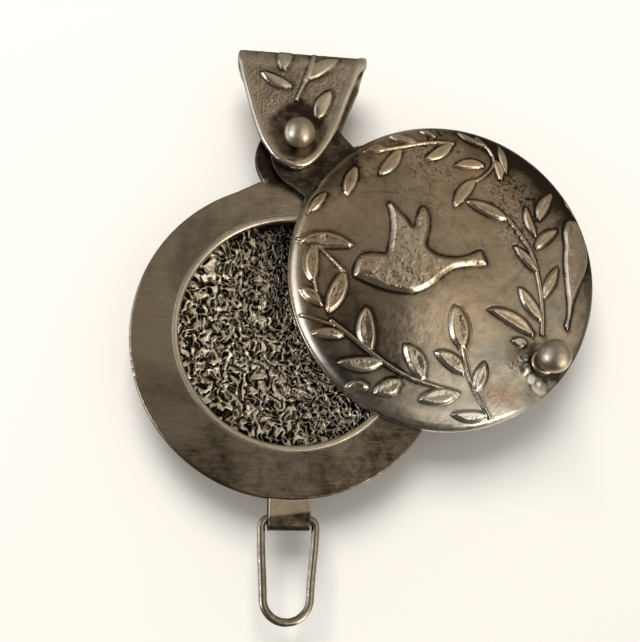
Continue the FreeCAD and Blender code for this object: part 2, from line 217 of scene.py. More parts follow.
class Relief:
    """Height of raised work on a ground, and how far each point lies inside
    or outside it."""

    MARGIN = 1.4            # how far around a shape its effect reaches

    def __init__(self, x, z):
        self.x, self.z = x, z
        self.height = np.zeros(x.shape)
        self.inward = np.zeros(x.shape)
        self.outward = np.full(x.shape, 9.0)

    def near(self, points):
        low, high = points.min(0) - self.MARGIN, points.max(0) + self.MARGIN
        return ((self.x > low[0]) & (self.x < high[0])
                & (self.z > low[1]) & (self.z < high[1]))

    def raise_to(self, mask, distance, height):
        self.height[mask] = np.maximum(self.height[mask], height)
        self.inward[mask] = np.maximum(self.inward[mask], distance)
        self.outward[mask] = np.minimum(self.outward[mask], np.maximum(-distance, 0))

    def leaf(self, base_x, base_z, tip_x, tip_z, width, hollow, bend, top):
        outline = leaf_outline(base_x, base_z, tip_x, tip_z, width, bend)
        mask = self.near(outline)
        x, z = self.x[mask], self.z[mask]
        distance = signed_distance(x, z, outline)
        half = width * 0.5
        if hollow:         # rounded rim, hollow middle
            shape = (smooth(-0.12, 0.42, distance)
                     * (1 - 0.22 * smooth(0.26, 0.36 + 0.80 * half, distance)))
        else:              # flat pad, a little crowned
            shape = smooth(-0.10, 0.24, distance) * (0.90 + 0.12 * smooth(0, half, distance))
        # the base sinks towards the stem
        dx, dz = tip_x - base_x, tip_z - base_z
        length = math.hypot(dx, dz)
        along = ((x - base_x) * dx + (z - base_z) * dz) / (length * length)
        self.raise_to(mask, distance, top * shape * (0.72 + 0.28 * smooth(0.0, 0.3, along)))

    def stem(self, points, width, top):
        points = np.array(points, float)
        fine = []
        for start, end in zip(points[:-1], points[1:]):
            fine += [start, start + (end - start) * 0.5]
        fine = np.array(fine + [points[-1]])
        fine[1:-1] = (fine[:-2] + 2 * fine[1:-1] + fine[2:]) / 4
        mask = self.near(fine)
        distance = width / 2 - line_distance(self.x[mask], self.z[mask], fine)
        self.raise_to(mask, distance, top * smooth(-0.09, 0.42 * width, distance))

    def pad(self, outline, top, edge, crown=0.0, reach=1.5):
        """Flat shape with a soft edge; the crown rises over the reach."""
        mask = self.near(outline)
        distance = signed_distance(self.x[mask], self.z[mask], outline)
        shape = smooth(-0.06, edge, distance) * (1 - crown + crown * smooth(0, reach, distance))
        self.raise_to(mask, distance, top * shape)


# ------------------------------------------------------------------- meshes
def disc_points(steps, disc_radius):
    """A square grid mapped onto a disc, rim exactly round."""
    side = np.linspace(-1, 1, steps + 1)
    across, up = np.meshgrid(side, side, indexing="ij")
    radius = np.zeros_like(across)
    angle = np.zeros_like(across)
    wide = np.abs(across) > np.abs(up)
    radius[wide] = across[wide]
    angle[wide] = (math.pi / 4) * (up[wide] / across[wide])
    tall = ~wide & (np.abs(up) > 0)
    radius[tall] = up[tall]
    angle[tall] = math.pi / 2 - (math.pi / 4) * (across[tall] / up[tall])
    return radius * np.cos(angle) * disc_radius, radius * np.sin(angle) * disc_radius


def grid_faces(rows, columns, wrap_rows=False, wrap_columns=False, base=0):
    """Quads of a grid of vertices, row by row."""
    row, column = np.meshgrid(np.arange(rows if wrap_rows else rows - 1),
                              np.arange(columns if wrap_columns else columns - 1),
                              indexing="ij")
    next_row, next_column = (row + 1) % rows, (column + 1) % columns
    return (np.stack([row * columns + column, next_row * columns + column,
                      next_row * columns + next_column, row * columns + next_column], -1)
            .reshape(-1, 4) + base)


def make_mesh(name, verts, faces, attrs=None, smooth_shade=True):
    """Object from vertices in mm and a list of face arrays, one per face size."""
    mesh = bpy.data.meshes.new(name)
    flat, starts, count = [], [], 0
    for block in faces:
        flat.append(block.reshape(-1))
        starts.append(count + np.arange(len(block)) * block.shape[1])
        count += block.size
    loops = np.concatenate(flat)
    starts = np.concatenate(starts)
    mesh.vertices.add(len(verts))
    mesh.vertices.foreach_set("co", (np.asarray(verts, float) * MM).astype(np.float32).ravel())
    mesh.loops.add(len(loops))
    mesh.loops.foreach_set("vertex_index", loops.astype(np.int32))
    mesh.polygons.add(len(starts))
    mesh.polygons.foreach_set("loop_start", starts.astype(np.int32))
    mesh.update(calc_edges=True)
    mesh.validate()
    mesh.polygons.foreach_set("use_smooth", np.full(len(mesh.polygons), smooth_shade))
    for key, values in (attrs or {}).items():
        layer = mesh.attributes.new(key, "FLOAT", "POINT")
        layer.data.foreach_set("value", np.asarray(values, np.float32))
    obj = bpy.data.objects.new(name, mesh)
    bpy.context.scene.collection.objects.link(obj)
    return obj


def closed_mesh(name, verts, faces, attrs=None):
    """A mesh turned inside out if its signed volume is negative."""
    obj = make_mesh(name, verts, faces, attrs)
    mesh = obj.data
    points = np.zeros(len(mesh.vertices) * 3, np.float32)
    mesh.vertices.foreach_get("co", points)
    points = points.reshape(-1, 3).astype(float)
    mesh.calc_loop_triangles()
    corners = np.zeros(len(mesh.loop_triangles) * 3, np.int32)
    mesh.loop_triangles.foreach_get("vertices", corners)
    first, second, third = points[corners.reshape(-1, 3)].transpose(1, 0, 2)
    if np.einsum("ij,ij->", first, np.cross(second, third)) < 0:
        mesh.flip_normals()
    return obj


def disc_solid(name, x, y, z, centre, disc_radius, behind, attrs):
    """A worked disc face, closed by what lies behind it: rings of (radius, y)
    from the rim inwards, the last one a point on the axis.  attrs maps a name
    to its values on the face and its one value behind."""
    verts = np.stack([x + centre[0], y, z + centre[1]], -1).reshape(-1, 3)
    side = len(x)
    index = np.arange(side * side).reshape(side, side)
    rim = np.concatenate([index[:-1, 0], index[-1, :-1], index[1:, -1][::-1], index[0, 1:][::-1]])
    outward = (verts[rim][:, [0, 2]] - centre) / disc_radius
    count = len(rim)
    k = np.arange(count)
    after = (k + 1) % count
    blocks, faces = [verts], [grid_faces(side, side)]
    previous, base = rim, len(verts)
    for ring_radius, ring_y in behind[:-1]:
        blocks.append(np.stack([centre[0] + outward[:, 0] * ring_radius,
                                np.full(count, ring_y),
                                centre[1] + outward[:, 1] * ring_radius], -1))
        current = base + k
        faces.append(np.stack([previous, previous[after], current[after], current], -1))
        previous = current
        base += count
    blocks.append([[centre[0], behind[-1][1], centre[1]]])
    faces.append(np.stack([previous, previous[after], np.full(count, base)], -1))
    extra = base + 1 - len(verts)
    values = {key: np.append(face.ravel(), np.full(extra, rest))
              for key, (face, rest) in attrs.items()}
    return closed_mesh(name, np.vstack(blocks), faces, values)


def revolve(profile, centre, cos, sin, swell=0.0, factor=1.0):
    """Grid of points: a profile of (radius, y) carried round the Y axis."""
    radii = profile[:, 0][:, None] * factor + swell
    x = centre[0] + radii * cos
    return np.stack([x, profile[:, 1][:, None] + 0 * x, centre[1] + radii * sin], -1)


def turned(name, profile, centre, seed, shadow):
    """Slightly uneven solid of revolution.  The profile runs from axis to
    axis; shadow is (amount, from y, to y) of painted shade towards the back."""
    segments, wobble = 112, 0.006
    profile = np.array(profile, float)
    angle = np.arange(segments) / segments * TAU
    cos, sin = np.cos(angle), np.sin(angle)
    level = profile[:, 1][:, None]
    uneven = 1 + wobble * perlin(cos[None] * 1.7 + level, sin[None] * 1.7 + level * 0.7, seed)
    verts = revolve(profile, centre, cos, sin, factor=uneven)[1:-1].reshape(-1, 3)
    top, bottom = len(verts), len(verts) + 1
    verts = np.vstack([verts, [centre[0], profile[0, 1], centre[1]],
                       [centre[0], profile[-1, 1], centre[1]]])
    k = np.arange(segments)
    after = (k + 1) % segments
    last = (len(profile) - 3) * segments
    faces = [grid_faces(len(profile) - 2, segments, wrap_columns=True),
             np.stack([np.full(segments, top), k, after], -1),
             np.stack([np.full(segments, bottom), last + after, last + k], -1)]
    amount, start, end = shadow
    return closed_mesh(name, verts, faces, {"patina_and_shade": amount * smooth(start, end, verts[:, 1])})


# ================================================================ materials
class Graph:
    """Adds nodes to a shader tree.  Inputs may be sockets or plain values."""

    def __init__(self, tree):
        self.tree = tree

    def add(self, kind, **settings):
        node = self.tree.nodes.new(kind)
        for key, value in settings.items():
            setattr(node, key, value)
        return node

    def feed(self, target, value):
        if isinstance(value, bpy.types.NodeSocket):
            self.tree.links.new(value, target)
        else:
            target.default_value = value

    def math(self, operation, *values):
        node = self.add("ShaderNodeMath", operation=operation)
        for k, value in enumerate(values):
            self.feed(node.inputs[k], value)
        return node.outputs[0]

    def add_scaled(self, value, field, weight):
        return self.math("ADD", value, self.math("MULTIPLY", field, weight))

    def vary(self, value, field, weight):
        """The value moved up and down by a field that is centred on 0.5."""
        return self.add_scaled(value, self.math("SUBTRACT", field, 0.5), weight)

    def ramp(self, value, start, end, low=0.0, high=1.0):
        node = self.add("ShaderNodeMapRange", interpolation_type="SMOOTHSTEP")
        for key, number in (("From Min", start), ("From Max", end),
                            ("To Min", low), ("To Max", high)):
            node.inputs[key].default_value = number
        self.feed(node.inputs["Value"], value)
        return node.outputs["Result"]

    def mix(self, factor, first, second, blend="MIX"):
        node = self.add("ShaderNodeMix", data_type="RGBA", blend_type=blend, clamp_factor=True)
        self.feed(node.inputs[0], factor)
        for k, color in ((6, first), (7, second)):      # the colour sockets
            self.feed(node.inputs[k], (*color, 1.0) if isinstance(color, tuple) else color)
        return node.outputs[2]

    def noise(self, vector, scale, detail, roughness, distortion=0.0):
        node = self.add("ShaderNodeTexNoise")
        for key, number in (("Scale", scale), ("Detail", detail),
                            ("Roughness", roughness), ("Distortion", distortion)):
            node.inputs[key].default_value = number
        self.feed(node.inputs["Vector"], vector)
        return node.outputs["Fac"]

    def attribute(self, name):
        return self.add("ShaderNodeAttribute", attribute_name=name).outputs["Fac"]

    def split(self, vector):
        node = self.add("ShaderNodeSeparateXYZ")
        self.feed(node.inputs[0], vector)
        return node.outputs


SILVER = (0.68, 0.560, 0.425)
# colour of rubbed wear and of painted highlights
RUBBED_AND_HIGHLIGHT = (0.93, 0.865, 0.735)
DARK = (0.042, 0.031, 0.021)


def hairlines(graph, place):
    """Three crossed sets of fine scratches."""
    sets = []
    for turn, shift in ((0.5, 3.0), (-0.9, 11.0), (1.9, 23.0)):
        mapping = graph.add("ShaderNodeMapping")
        mapping.inputs["Rotation"].default_value = (0.0, turn, 0.0)
        mapping.inputs["Location"].default_value = (shift, shift, shift)
        mapping.inputs["Scale"].default_value = (0.22, 1.0, 7.0)
        graph.feed(mapping.inputs["Vector"], place)
        streaks = graph.noise(mapping.outputs[0], scale=1.6, detail=2, roughness=0.5)
        sets.append(graph.ramp(streaks, 0.60, 0.72))
    return graph.math("MAXIMUM", graph.math("MAXIMUM", sets[0], sets[1]), sets[2])


def pivot_patina_and_shade(graph, place, uneven, full, gone, amount):
    """Patina and painted shade around the pivot: whole within one distance, gone by another."""
    axes = graph.split(place)
    dx = graph.math("SUBTRACT", axes[0], PIVOT[0])
    dz = graph.math("SUBTRACT", axes[2], PIVOT[1])
    distance = graph.math("SQRT", graph.math("ADD", graph.math("MULTIPLY", dx, dx),
                                             graph.math("MULTIPLY", dz, dz)))
    distance = graph.vary(distance, uneven, 1.2)
    return graph.ramp(distance, full, gone, amount, 0.0)


def low_painted_shade(graph, place, lean, start, full, amount):
    """Painted shade that grows downwards, and to the right by the lean."""
    axes = graph.split(place)
    depth = graph.math("SUBTRACT", graph.math("MULTIPLY", axes[0], lean), axes[2])
    return graph.ramp(depth, start, full, 0.0, amount)


def worn_edges(graph, uneven, amount, reach):
    """Where a bevelled normal departs from the true one."""
    bevel = graph.add("ShaderNodeBevel", samples=4)
    bevel.inputs["Radius"].default_value = reach * MM
    geometry = graph.add("ShaderNodeNewGeometry")
    dot = graph.add("ShaderNodeVectorMath", operation="DOT_PRODUCT")
    graph.feed(dot.inputs[0], bevel.outputs[0])
    graph.feed(dot.inputs[1], geometry.outputs["Normal"])
    edges = graph.ramp(dot.outputs["Value"], 0.995, 0.86, 0.0, amount)
    return graph.math("MULTIPLY", edges, graph.add_scaled(0.55, uneven, 0.6))


def silver(name, tone, rough, mottle, scratch, bump, base=SILVER, dark=DARK,
           patina_and_shade=False, rubbed_and_highlit=False, near_pivot=None, low=None, edge=0.0, edge_reach=0.12,
           tints=(), grain=0.0, rub_gloss=0.12):
    """Oxidised silver.  tone is how dark the film is on open surfaces, mottle
    how blotchy.  Two flags read the mesh's attributes: one holds patina with
    painted shade, the bright one holds rubbed wear with painted highlights;
    edge wears sharp edges bright; rub_gloss is how much smoother bright metal is."""
    mat = bpy.data.materials.new(name)
    mat.use_nodes = True
    graph = Graph(mat.node_tree)
    shader = mat.node_tree.nodes["Principled BSDF"]
    shader.inputs["Metallic"].default_value = 1.0
    coords = graph.add("ShaderNodeTexCoord")
    to_mm = graph.add("ShaderNodeVectorMath", operation="SCALE")
    to_mm.inputs["Scale"].default_value = 1000.0
    graph.feed(to_mm.inputs[0], coords.outputs["Object"])
    place = to_mm.outputs[0]

    broad = graph.ramp(graph.noise(place, scale=0.16, detail=3, roughness=0.5, distortion=0.6),
                       0.32, 0.70)
    medium = graph.ramp(graph.noise(place, scale=0.9, detail=5, roughness=0.6, distortion=0.4),
                        0.30, 0.72)
    fine = graph.noise(place, scale=6.0, detail=4, roughness=0.6)
    scratches = hairlines(graph, place)
    pits = graph.ramp(graph.noise(place, scale=3.2, detail=2, roughness=0.5), 0.66, 0.76)

    # film thickness, 0 to 1, with painted shade added to the patina
    film_and_shade = graph.vary(tone, broad, 0.45 * mottle)
    film_and_shade = graph.vary(film_and_shade, medium, 0.42 * mottle)
    film_and_shade = graph.vary(film_and_shade, fine, 0.5 * mottle)
    film_and_shade = graph.add_scaled(film_and_shade, pits, 0.25 * mottle)
    film_and_shade = graph.math("SUBTRACT", film_and_shade, graph.math("MULTIPLY", scratches, 0.28 * scratch))
    # patina and painted shade read from the mesh
    if patina_and_shade:
        film_and_shade = graph.math("ADD", film_and_shade, graph.attribute("patina_and_shade"))
    if near_pivot:
        film_and_shade = graph.math("ADD", film_and_shade, pivot_patina_and_shade(graph, place, medium, **near_pivot))
    if low:
        film_and_shade = graph.math("ADD", film_and_shade, low_painted_shade(graph, place, **low))
    film_and_shade = graph.math("MAXIMUM", graph.math("MINIMUM", film_and_shade, 1.0), 0.0)

    color = graph.mix(film_and_shade, base, dark)
    rub_and_highlight = None
    # rubbed wear and painted highlights from the mesh, or worn edges
    if rubbed_and_highlit:
        rub_and_highlight = graph.attribute("bright")
    elif edge:
        rub_and_highlight = worn_edges(graph, medium, edge, edge_reach)
    if rub_and_highlight is not None:
        color = graph.mix(rub_and_highlight, color, RUBBED_AND_HIGHLIGHT)
    for key, tint in tints:
        color = graph.mix(graph.attribute(key), color, tint, "MULTIPLY")
    graph.feed(shader.inputs["Base Color"], color)

    roughness = graph.vary(rough, medium, 0.16)
    roughness = graph.vary(roughness, fine, 0.18)
    roughness = graph.add_scaled(roughness, film_and_shade, 0.10)
    if rub_and_highlight is not None:
        roughness = graph.math("SUBTRACT", roughness, graph.math("MULTIPLY", rub_and_highlight, rub_gloss))
    roughness = graph.math("MAXIMUM", roughness, 0.07)
    graph.feed(shader.inputs["Roughness"], roughness)

    # relief of the surface itself
    height = graph.math("MULTIPLY", fine, 0.6)
    height = graph.add_scaled(height, scratches, -0.5 * scratch)
    height = graph.add_scaled(height, pits, -0.6)
    if grain:
        coarse = graph.noise(place, scale=2.6, detail=3, roughness=0.6)
        height = graph.add_scaled(height, coarse, grain)
    bumps = graph.add("ShaderNodeBump")
    bumps.inputs["Strength"].default_value = bump
    bumps.inputs["Distance"].default_value = 0.012 * MM
    graph.feed(bumps.inputs["Height"], height)
    graph.feed(shader.inputs["Normal"], bumps.outputs[0])
    return mat


# finish: (material slot, material)
FINISH = {
    "ring": ("satin_silver", silver(
        "silver_satin_ring", tone=0.60, rough=0.27, mottle=0.46, scratch=0.5, bump=0.45,
        # patina and painted shade near the pivot
        near_pivot=dict(full=4.5, gone=5.7, amount=0.46), edge=0.85, edge_reach=0.16,
        # painted shade low down
        low=dict(lean=0.25, start=25.0, full=44.0, amount=0.27))),
    "plate": ("satin_silver", silver(
        "silver_satin_plate", tone=0.58, rough=0.28, mottle=0.4, scratch=0.5, bump=0.45,
        # patina and painted shade near the pivot
        near_pivot=dict(full=6.2, gone=8.0, amount=0.42), edge=0.8)),
    "back": ("satin_silver", silver(
        "silver_satin_back", tone=0.42, rough=0.36, mottle=0.5, scratch=0.6, bump=0.6,
        patina_and_shade=True, grain=0.5)),
    "lip": ("lip_silver", silver(
        "silver_lip", tone=0.26, rough=0.28, mottle=0.35, scratch=0.4, bump=0.4,
        base=(0.80, 0.72, 0.58))),
    "relief": ("relief_silver", silver(
        "silver_relief", tone=0.36, rough=0.235, mottle=0.30, scratch=0.30, bump=0.42,
        patina_and_shade=True, rubbed_and_highlit=True, rub_gloss=-0.06,
        tints=(("tint_blue", (0.72, 0.86, 1.0)), ("tint_pink", (1.0, 0.76, 0.68)),
               ("tint_warm", (1.0, 0.84, 0.68))))),
    "bail": ("relief_silver", silver(
        "silver_relief_bail", tone=0.27, rough=0.30, mottle=0.30, scratch=0.25, bump=0.5,
        patina_and_shade=True, rubbed_and_highlit=True)),
    "well": ("reticulated_silver", silver(
        "silver_reticulated", tone=0.14, rough=0.36, mottle=0.18, scratch=0.0, bump=0.2,
        base=(0.78, 0.68, 0.53), dark=(0.016, 0.013, 0.010), patina_and_shade=True, rubbed_and_highlit=True)),
    "ball": ("polished_silver", silver(
        "silver_polished", tone=0.34, rough=0.38, mottle=0.30, scratch=0.3, bump=0.3,
        base=(0.80, 0.70, 0.555), patina_and_shade=True)),
    "wire": ("wire_silver", silver(
        "silver_wire", tone=0.56, rough=0.22, mottle=0.5, scratch=0.4, bump=0.4,
        base=(0.76, 0.67, 0.54))),
    "knuckle": ("satin_silver", silver(
        "silver_knuckle", tone=0.34, rough=0.30, mottle=0.45, scratch=0.5, bump=0.45,
        edge=0.9, edge_reach=0.16,
        # painted shade on the lower curve of the knuckle
        low=dict(lean=0.12, start=44.75, full=45.15, amount=0.60))),
    "washer": ("satin_silver", silver(
        "silver_washer", tone=0.46, rough=0.32, mottle=0.5, scratch=0.4, bump=0.45,
        edge=0.9, edge_reach=0.10)),
    "collar": ("lip_silver", silver(
        "silver_collar", tone=0.42, rough=0.30, mottle=0.5, scratch=0.3, bump=0.45,
        edge=0.9, edge_reach=0.10)),
}


def wear(obj, finish):
    obj.data.materials.clear()
    obj.data.materials.append(FINISH[finish][1])


def put(obj, finish, body, replaced):
    """Finish a piece, let it ride on a body and stand in for a CAD node."""
    wear(obj, finish)
    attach(obj, body)
    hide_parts(replaced)


# =================================================== cover dome with its relief
# All relief places are from the cover's centre.
# leaves: base x, z, tip x, z, width, 1 if hollow
LEAVES = [
    (0.87, 13.85, -2.13, 11.86, 1.36, 0), (-4.58, 12.91, -6.97, 9.87, 1.53, 0),
    (-2.72, 13.64, -5.91, 14.47, 1.04, 0), (-0.82, 14.46, -2.65, 15.19, 0.76, 0),
    (-6.04, 12.86, -8.44, 12.51, 1.09, 0), (-9.29, 10.68, -10.34, 7.49, 1.47, 0),
    (-12.31, 7.79, -14.08, 5.63, 1.09, 0), (1.39, 15.28, 4.72, 13.82, 0.82, 0),
    (4.15, 11.61, 0.87, 11.32, 1.22, 0), (5.37, 12.36, 5.85, 9.99, 1.09, 0),
    (5.81, 13.98, 6.49, 10.77, 0.98, 0), (3.02, 9.87, 0.61, 6.66, 1.47, 0),
    (6.29, 5.73, 1.87, 7.45, 1.58, 1), (9.34, 4.07, 8.36, 7.42, 1.14, 1),
    (9.67, 5.94, 11.48, 9.11, 1.47, 1), (9.15, 2.81, 11.92, 5.17, 1.36, 1),
    (9.40, 0.27, 6.84, 2.94, 1.25, 1), (9.91, -2.31, 11.71, 1.17, 1.36, 1),
    (9.72, -4.65, 7.27, -1.34, 1.58, 1), (8.89, -6.18, 3.88, -3.81, 1.69, 1),
    (8.19, -7.05, 6.44, -6.80, 1.09, 0), (8.72, -10.31, 10.53, -11.91, 1.64, 1),
    (-14.77, 2.71, -9.61, 2.15, 1.85, 1), (-13.45, 2.21, -13.52, -1.79, 1.69, 1),
    (-10.49, -0.59, -12.13, -4.74, 1.91, 1), (-14.79, -2.20, -12.56, -4.09, 1.42, 1),
    (-10.40, -6.88, -13.71, -6.79, 1.36, 1), (-7.87, -8.36, -8.32, -3.97, 2.02, 1),
    (-6.53, -9.43, -11.08, -9.52, 1.69, 1), (-2.50, -11.13, -4.52, -7.61, 2.02, 1),
    (-4.63, -11.21, -7.48, -12.47, 1.91, 1), (-7.86, -11.81, -10.43, -12.26, 1.31, 1),
    (1.00, -12.28, -3.02, -12.98, 1.91, 1), (1.30, -8.02, 0.51, -3.57, 2.13, 1),
    (1.66, -10.31, -1.47, -8.23, 1.80, 1), (2.66, -12.11, 3.69, -9.06, 1.58, 1),
    (4.06, -14.29, 0.25, -14.33, 1.36, 1),
]
# stems: points (x, z), width
STEMS = [
    ([(0.87, 13.85), (-0.87, 13.93), (-2.83, 13.63), (-4.56, 13.16), (-7.09, 12.59),
      (-8.34, 12.51)], 0.46),
    ([(3.48, 14.70), (4.82, 13.46), (5.38, 12.04), (4.68, 10.95), (3.58, 9.98),
      (2.99, 9.69)], 0.36),
    ([(6.30, 5.84), (7.48, 4.35), (8.79, 2.44), (9.29, 0.49), (9.69, -1.89), (9.85, -4.01),
      (9.80, -5.89)], 0.48),
    ([(-14.68, -4.94), (-13.12, -5.40), (-11.48, -5.93)], 0.35),
    ([(-11.70, -5.50), (-8.97, -7.57), (-6.52, -9.53), (-3.78, -11.03), (-1.31, -11.67),
      (0.99, -12.26)], 0.52),
    ([(-15.08, 2.83), (-13.44, 2.38), (-11.87, 0.90), (-10.60, -0.46)], 0.34),
    ([(-13.52, -0.91), (-13.21, -2.46)], 0.34),
    ([(4.27, -14.48), (2.66, -12.11), (1.77, -10.02), (1.30, -7.92)], 0.38),
]
# outlines (x, z): a bird left of the middle, and another at the right edge
BIRD = [
    (-9.67, -0.90), (-9.48, 0.32), (-8.90, 1.21), (-8.01, 1.48), (-7.03, 1.45), (-6.38, 1.51),
    (-6.12, 2.56), (-5.96, 3.83), (-5.94, 4.90), (-6.07, 5.97), (-6.25, 6.62), (-5.79, 6.91),
    (-5.06, 6.11), (-4.27, 5.22), (-3.59, 4.39), (-3.25, 5.53), (-2.87, 6.42), (-2.35, 6.50),
    (-1.92, 5.81), (-1.85, 4.63), (-2.09, 3.34), (-2.26, 2.49), (-1.81, 1.89), (-0.90, 1.46),
    (0.53, 1.33), (1.89, 1.62), (3.10, 2.17), (3.47, 1.98), (3.77, 1.37), (3.96, 0.76),
    (3.43, 0.46), (2.07, 0.33), (0.61, 0.04), (-0.42, -0.58), (-1.34, -1.39), (-2.45, -2.15),
    (-3.75, -2.65), (-5.15, -2.64), (-6.53, -2.37), (-8.01, -1.85), (-8.99, -1.40)]
EDGE_BIRD = [
    (12.41, 4.99), (12.89, 6.22), (13.80, 6.38), (14.65, 5.73), (15.10, 4.30), (15.22, 2.16),
    (14.77, 0.53), (13.98, -1.09), (13.34, -2.69), (13.01, -4.10), (12.68, -5.40),
    (12.24, -5.00), (12.52, -3.90), (12.56, -2.49), (12.41, -0.48), (12.32, 1.74),
    (12.47, 3.56)]
EDGE_WING = [(12.72, 9.33), (13.57, 8.60), (14.38, 7.33), (14.85, 5.94), (13.92, 6.74),
             (12.95, 7.97)]
# one long scratch and one dent near the top
LONG_SCRATCH = [(-8.82, 7.90), (-6.92, 7.98), (-5.00, 7.98)]
DENT = dict(centre=(1.42, 12.97), spread=(0.26, 0.20))
# solder lumps at the stud's foot: x, z from the stud, radius, height
LUMPS = ((-1.90, 0.30, 0.50, 0.22), (-1.80, -0.75, 0.60, 0.32), (-1.20, -1.75, 0.58, 0.32),
         (-0.35, -2.20, 0.46, 0.24))


def cover_relief(x, z, bird):
    relief = Relief(x, z)
    rng = np.random.default_rng(5)
    for *leaf, hollow in LEAVES:
        relief.leaf(*leaf, hollow, bend=float(rng.uniform(-0.07, 0.07)),
                    top=0.39 if hollow else 0.30)
    for points, width in STEMS:
        relief.stem(points, width, top=0.24)
    relief.pad(bird, top=0.46, edge=0.62, crown=0.06, reach=1.8)
    edge_bird = closed_curve(EDGE_BIRD)
    relief.pad(edge_bird, top=0.44, edge=0.50)
    # the bird at the edge is hollowed like the leaves
    relief.height -= 0.13 * smooth(0.35, 1.1, signed_distance(x, z, edge_bird))
    relief.pad(closed_curve(EDGE_WING), top=0.32, edge=0.24)
    return relief


def cover_fields():
    """The masks and distances that both the shape and the patina with its painted shade use."""
    x, z = disc_points(560, COVER_R)
    radius = np.hypot(x, z)
    bird = closed_curve(BIRD)
    relief = cover_relief(x, z, bird)
    raised = smooth(0.02, 0.2, relief.height)
    on_bird = smooth(0.2, 0.5, signed_distance(x, z, bird))
    # the ground is worked rough at the upper right and, less, low down
    rough = (smooth(3.0, 9.0, z + 0.5 * x)
             * smooth(-0.25, 0.35, noise(x, z, 0.22, seed=41, octaves=2)))
    rough_low = (smooth(6.0, 10.0, -z + 0.2 * x)
                 * smooth(-0.1, 0.4, noise(x, z, 0.3, seed=43, octaves=2)))
    rough = np.maximum(rough, 0.45 * rough_low)
    rightness = x / np.maximum(radius, 1e-6)
    rough = rough * (1 - smooth(12.4, 14.0, radius) * smooth(0.2, 0.6, rightness))
    stud_x, stud_z = x - (STUD[0] - COVER[0]), z - (STUD[1] - COVER[1])
    lumps = np.zeros(x.shape)
    for lump_x, lump_z, size, amount in LUMPS:
        distance = (np.hypot(stud_x - lump_x, stud_z - lump_z)
                    + 0.10 * noise(x, z, 1.6, seed=58))
        lumps = np.maximum(lumps, amount * band(distance, 0, size))
    return SimpleNamespace(
        x=x, z=z, radius=radius, relief=relief, raised=raised, ground=1 - raised,
        on_bird=on_bird, pits=smooth(0.30, 0.62, noise(x, z, 2.3, seed=77)) * on_bird,
        rough=rough, lumps=lumps,
        coarse=noise(x, z, 0.9, seed=51, octaves=3), fine=noise(x, z, 2.6, seed=52, octaves=3),
        scratch=line_distance(x, z, LONG_SCRATCH), dent=spot(x, z, **DENT),
        stud_distance=np.hypot(stud_x, stud_z),
        # below and to the left of the stud
        stud_low_left=smooth(-0.4, 1.2, -stud_x - 0.5 * stud_z))


def cover_shape(fields):
    """Height of the work on the dome, and the y of the finished face."""
    x, z, radius, ground = fields.x, fields.z, fields.radius, fields.ground
    # slightly uneven outlines and tops, as cast or pressed work has
    height = fields.relief.height * (1 + 0.09 * noise(x, z, 1.1, seed=31)
                                     + 0.04 * noise(x, z, 3.1, seed=32))
    height -= (0.016 * fields.pits
               + 0.004 * fields.on_bird * noise(x, z, 2.0, seed=79, octaves=3))
    height += ground * (0.008 * fields.coarse + 0.040 * fields.rough * fields.fine
                        + 0.004 * fields.fine)
    height += 0.004 * noise(x, z, 1.7, seed=53, octaves=2)
    # a fine groove around raised work
    height -= 0.035 * band(fields.relief.outward, 0.14, 0.11) * ground
    # broad hand-formed unevenness
    height += 0.075 * perlin(x * 0.12 + 3, z * 0.12, 61) + 0.016 * noise(x, z, 0.38, seed=62)
    height -= 0.10 * fields.dent
    height -= 0.02 * band(fields.scratch, 0, 0.07)
    near_stud = 1 - smooth(2.4, 3.2, fields.stud_distance)
    height = np.maximum(height * (1 - 0.5 * near_stud * ground), fields.lumps)
    # nothing stands above the loop's path or out of the rim
    fade = 1 - smooth(COVER_R - 0.55, COVER_R - 0.05, radius)
    axis = STUD - COVER
    axis = axis / np.hypot(*axis)
    along = x * axis[0] + z * axis[1]
    across = np.abs(-x * axis[1] + z * axis[0])
    path = smooth(12.4, 13.8, along) * (1 - smooth(2.8, 4.4, across))
    height = height * fade * (1 - 0.95 * path)
    # a rolled rim with a plain, flatter band inside it, missing by the stud
    rim_width = 0.75
    outwards = np.clip((radius - (COVER_R - rim_width)) / rim_width, 0, 1)
    roll = (0.40 * np.sqrt(np.clip(1 - outwards ** 2, 0, 1))
            * smooth(COVER_R - 4.2, COVER_R - 1.0, radius))
    y = DOME_BASE_Y - dome_height(radius, COVER_R, DOME_RISE, power=1.35) - height
    y -= roll * (1 - smooth(11.0, 13.4, along) * (1 - smooth(2.9, 6.8, across)))
    return height, y


def right_side(fields):
    """The right side of the dome, turned a little upwards."""
    return smooth(-0.1, 0.5, (0.95 * fields.x + 0.30 * fields.z)
                  / np.maximum(fields.radius, 1e-6))
